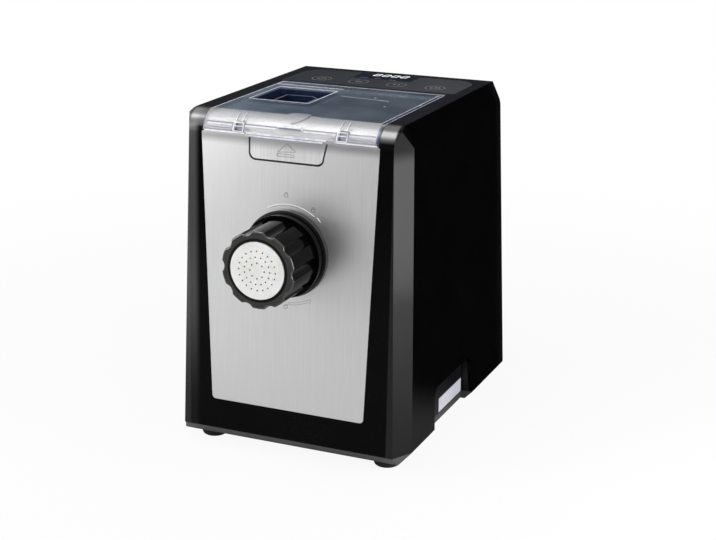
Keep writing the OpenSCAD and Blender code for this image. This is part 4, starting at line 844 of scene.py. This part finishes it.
barrel_grey = moulded("barrel_grey", coloured(0.012, 0.012, 0.013), coloured(0.02, 0.02, 0.022),
                      0.3)
bm = shaped("extrusion_barrel")
round_edges(bm, 60, 181, 0.0003, 2)
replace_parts(put(bm, "barrel_moulding", barrel_grey, "machine"),
            "extrusion_barrel")
dress(rubber("seal_silicone", coloured(0.10, 0.02, 0.015), coloured(0.15, 0.03, 0.02)),
      "shaft_seal")


# ---- Shaping die -------------------------------------------------------------
# A round ivory disc of food-grade nylon with three rings of holes, moulded in one.
# The nut holds its rim against the end of the barrel.

ivory = Finish(bpy.data.materials.new("die_ivory"))
place = ivory.node("TexCoord", out="Object")
cloud = ivory.node("TexNoise", {0: place, "Scale": 55, "Detail": 3})
ivory.paint({
    "Base Color": blend(ivory, coloured(0.79, 0.785, 0.75), coloured(0.86, 0.855, 0.83),
                        fade(ivory, cloud, 0.35, 0.65)),
    "Roughness": 0.38 + 0.1 * (cloud - 0.5), "Subsurface Weight": 0.15,
    "Subsurface Scale": 0.002})

bm = shaped("die_disc")
round_edges(bm, 60, 181, 0.0002, 2)
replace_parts(put(bm, "die_moulding", ivory, "die"), "die_disc")


# ---- Locking nut -------------------------------------------------------------
# A satin black nylon nut with ten hollow flutes for the fingers and a plain collar.
# Three lugs inside it pass between those of the barrel and lock behind them.

nut_black = moulded("nut_black", coloured(0.0010, 0.0010, 0.0011), coloured(0.0022, 0.0022, 0.0024),
                    0.14, specular=0.045)
nut_matt_painted_light = moulded("nut_matt_painted_light", coloured(0.014, 0.014, 0.012), coloured(0.024, 0.024, 0.021), 0.5,
                   dent=0.08, specular=0.3)
nut_rim = moulded("nut_rim", coloured(0.0020, 0.0020, 0.0022), coloured(0.0040, 0.0040, 0.0042),
                  0.2, specular=1.0)
bm = shaped("locking_nut")
# the front rim of the flutes is rounded more than the other edges
face_y, mouth_radius = at(0, -46.2, 0).y, 0.0262
rim = [edge for edge in bm.edges if edge.is_manifold and edge.calc_face_angle(0) > 0.7
       and all(vert.co.y < face_y
               and math.hypot(vert.co.x, vert.co.z - shaft_z / 1000) > mouth_radius
               for vert in edge.verts)]
rounded = set(bmesh.ops.bevel(bm, geom=rim, offset=0.0014, offset_type="OFFSET", affect="EDGES",
                              segments=3, profile=0.5, material=-1, clamp_overlap=False)["faces"])
# its front faces are matt and painted lighter than the rest, which is painted light; the rounded
# rim is the glossiest part
for face in bm.faces:
    if face in rounded:
        face.material_index = 2
    elif face.normal.y < -0.9 and face.calc_center_median().y < face_y:
        face.material_index = 1
nut = put(bm, "nut_moulding", nut_black, "nut")
nut.data.materials.append(nut_matt_painted_light.owner)
nut.data.materials.append(nut_rim.owner)
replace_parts(nut, "locking_nut")

# painted shadow: a dark ring stands for the shadow in the gap between the nut and the die
nut_front = surface(at(0, -46.5, 0), (1, 0, 0), (0, 0, 1), (0, -1, 0))
gap_painted_shadow = moulded("gap_painted_shadow", coloured(0.0015, 0.0015, 0.0015), coloured(0.003, 0.003, 0.003),
                    0.6, specular=0.1)
bm = bmesh.new()
arc(bm, (0, shaft_z), 24.5, 2.2, 0, 360)
printed(bm, "nut_gap_shadow_ring", nut_front, 0.03, gap_painted_shadow, "nut")


# ---- Base --------------------------------------------------------------------
# A dark grey pan closes the machine below and stands on four rubber feet. The grips in
# the sides have their own cups, and the right one carries a blank rating plate.

pan_grey = moulded("pan_grey", coloured(0.042, 0.042, 0.044), coloured(0.058, 0.058, 0.061), 0.45,
                   dent=0.06)
bm = shaped("base_pan")
# the pan's lower outer edge, by its height and how far out it lies
rim_z, rim_x, rim_front, rim_back = 0.0105, 0.094, -0.092, 0.139
outer_rim = []
for edge in bm.edges:
    low = max(vert.co.z for vert in edge.verts) < rim_z
    outside = all(abs(vert.co.x) > rim_x or vert.co.y < rim_front or vert.co.y > rim_back
                  for vert in edge.verts)
    if low and outside and edge.is_manifold and 60 < math.degrees(edge.calc_face_angle(0)) < 120:
        outer_rim.append(edge)
bmesh.ops.bevel(bm, geom=outer_rim, offset=0.003, offset_type="OFFSET", affect="EDGES",
                segments=2, profile=0.5, material=-1, clamp_overlap=True)
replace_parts(put(bm, "pan_moulding", pan_grey, "machine"), "base_pan")

dress(moulded("cup_black", coloured(0.003, 0.003, 0.0035), coloured(0.006, 0.006, 0.007), 0.35,
              specular=0.2), "grip_cups")

foot_rubber = rubber("foot_rubber", coloured(0.008, 0.008, 0.008), coloured(0.016, 0.016, 0.016))
dress(foot_rubber, "rubber_feet", "cord_grommet", "gear_mounts")

zinc = metal("zinc_plate", coloured(0.45, 0.45, 0.47), coloured(0.62, 0.62, 0.64), 0.35)
dress(zinc, "foot_screws", "gear_screws", "motor_screws")
dress(moulded("blank_label", coloured(0.48, 0.48, 0.54), coloured(0.58, 0.58, 0.64), 0.4),
      "rating_plate")


# ---- Gear train --------------------------------------------------------------
# A die-cast gear case on four rubber mounts, with a nylon wheel on the output shaft, a
# nylon idler on a ground steel pin and a brass pinion on the motor's shaft.

dress(metal("die_cast", coloured(0.36, 0.37, 0.38), coloured(0.50, 0.51, 0.52), 0.5,
            scale=(300, 300, 300), dent=0.15),
      "gear_case", "gear_cover", "motor_front_bell", "motor_rear_bell")
dress(metal("sintered_bronze", coloured(0.42, 0.25, 0.08), coloured(0.58, 0.38, 0.15), 0.45,
            scale=(900, 900, 900)), "shaft_bushes")
dress(metal("ground_pin", coloured(0.6, 0.6, 0.62), coloured(0.75, 0.75, 0.77), 0.2),
      "idler_pin", "motor_bearings")
dress(moulded("natural_nylon", coloured(0.60, 0.58, 0.51), coloured(0.72, 0.70, 0.64), 0.4),
      "output_gear", "idler_gear")
dress(metal("cut_brass", coloured(0.55, 0.40, 0.14), coloured(0.70, 0.54, 0.24), 0.3),
      "motor_pinion")


# ---- Mixing shaft ------------------------------------------------------------
# A turned steel shaft with a hexagonal end drives the white screw and the paddle,
# which slide onto the hexagon.

dress(metal("turned_steel", coloured(0.52, 0.52, 0.54), coloured(0.68, 0.68, 0.70), 0.28,
            scale=(40, 2500, 40)), "drive_shaft", "motor_shaft")
dress(moulded("food_white", coloured(0.68, 0.68, 0.66), coloured(0.78, 0.78, 0.76), 0.35),
      "auger_screw", "mixing_paddle")


# ---- Motor -------------------------------------------------------------------
# An induction motor: stacked laminations, copper coils, two cast bells, a blue fan, a
# pressed cradle, and a run capacitor beside it.

dress(metal("laminations", coloured(0.16, 0.16, 0.17), coloured(0.34, 0.34, 0.35), 0.45,
            scale=(20, 2200, 20), dent=0.3), "motor_stator", "motor_rotor")
dress(metal("enamelled_copper", coloured(0.35, 0.11, 0.03), coloured(0.65, 0.28, 0.10), 0.3,
            scale=(1500, 200, 1500), dent=0.4), "motor_coils")
dress(metal("pressed_bracket", coloured(0.34, 0.34, 0.36), coloured(0.46, 0.46, 0.48), 0.4),
      "motor_cradle")
dress(metal("plain_can", coloured(0.58, 0.58, 0.60), coloured(0.70, 0.70, 0.72), 0.32,
            scale=(30, 30, 1200)), "run_capacitor")
dress(moulded("fan_blue", coloured(0.02, 0.06, 0.20), coloured(0.04, 0.09, 0.28), 0.4),
      "cooling_fan")
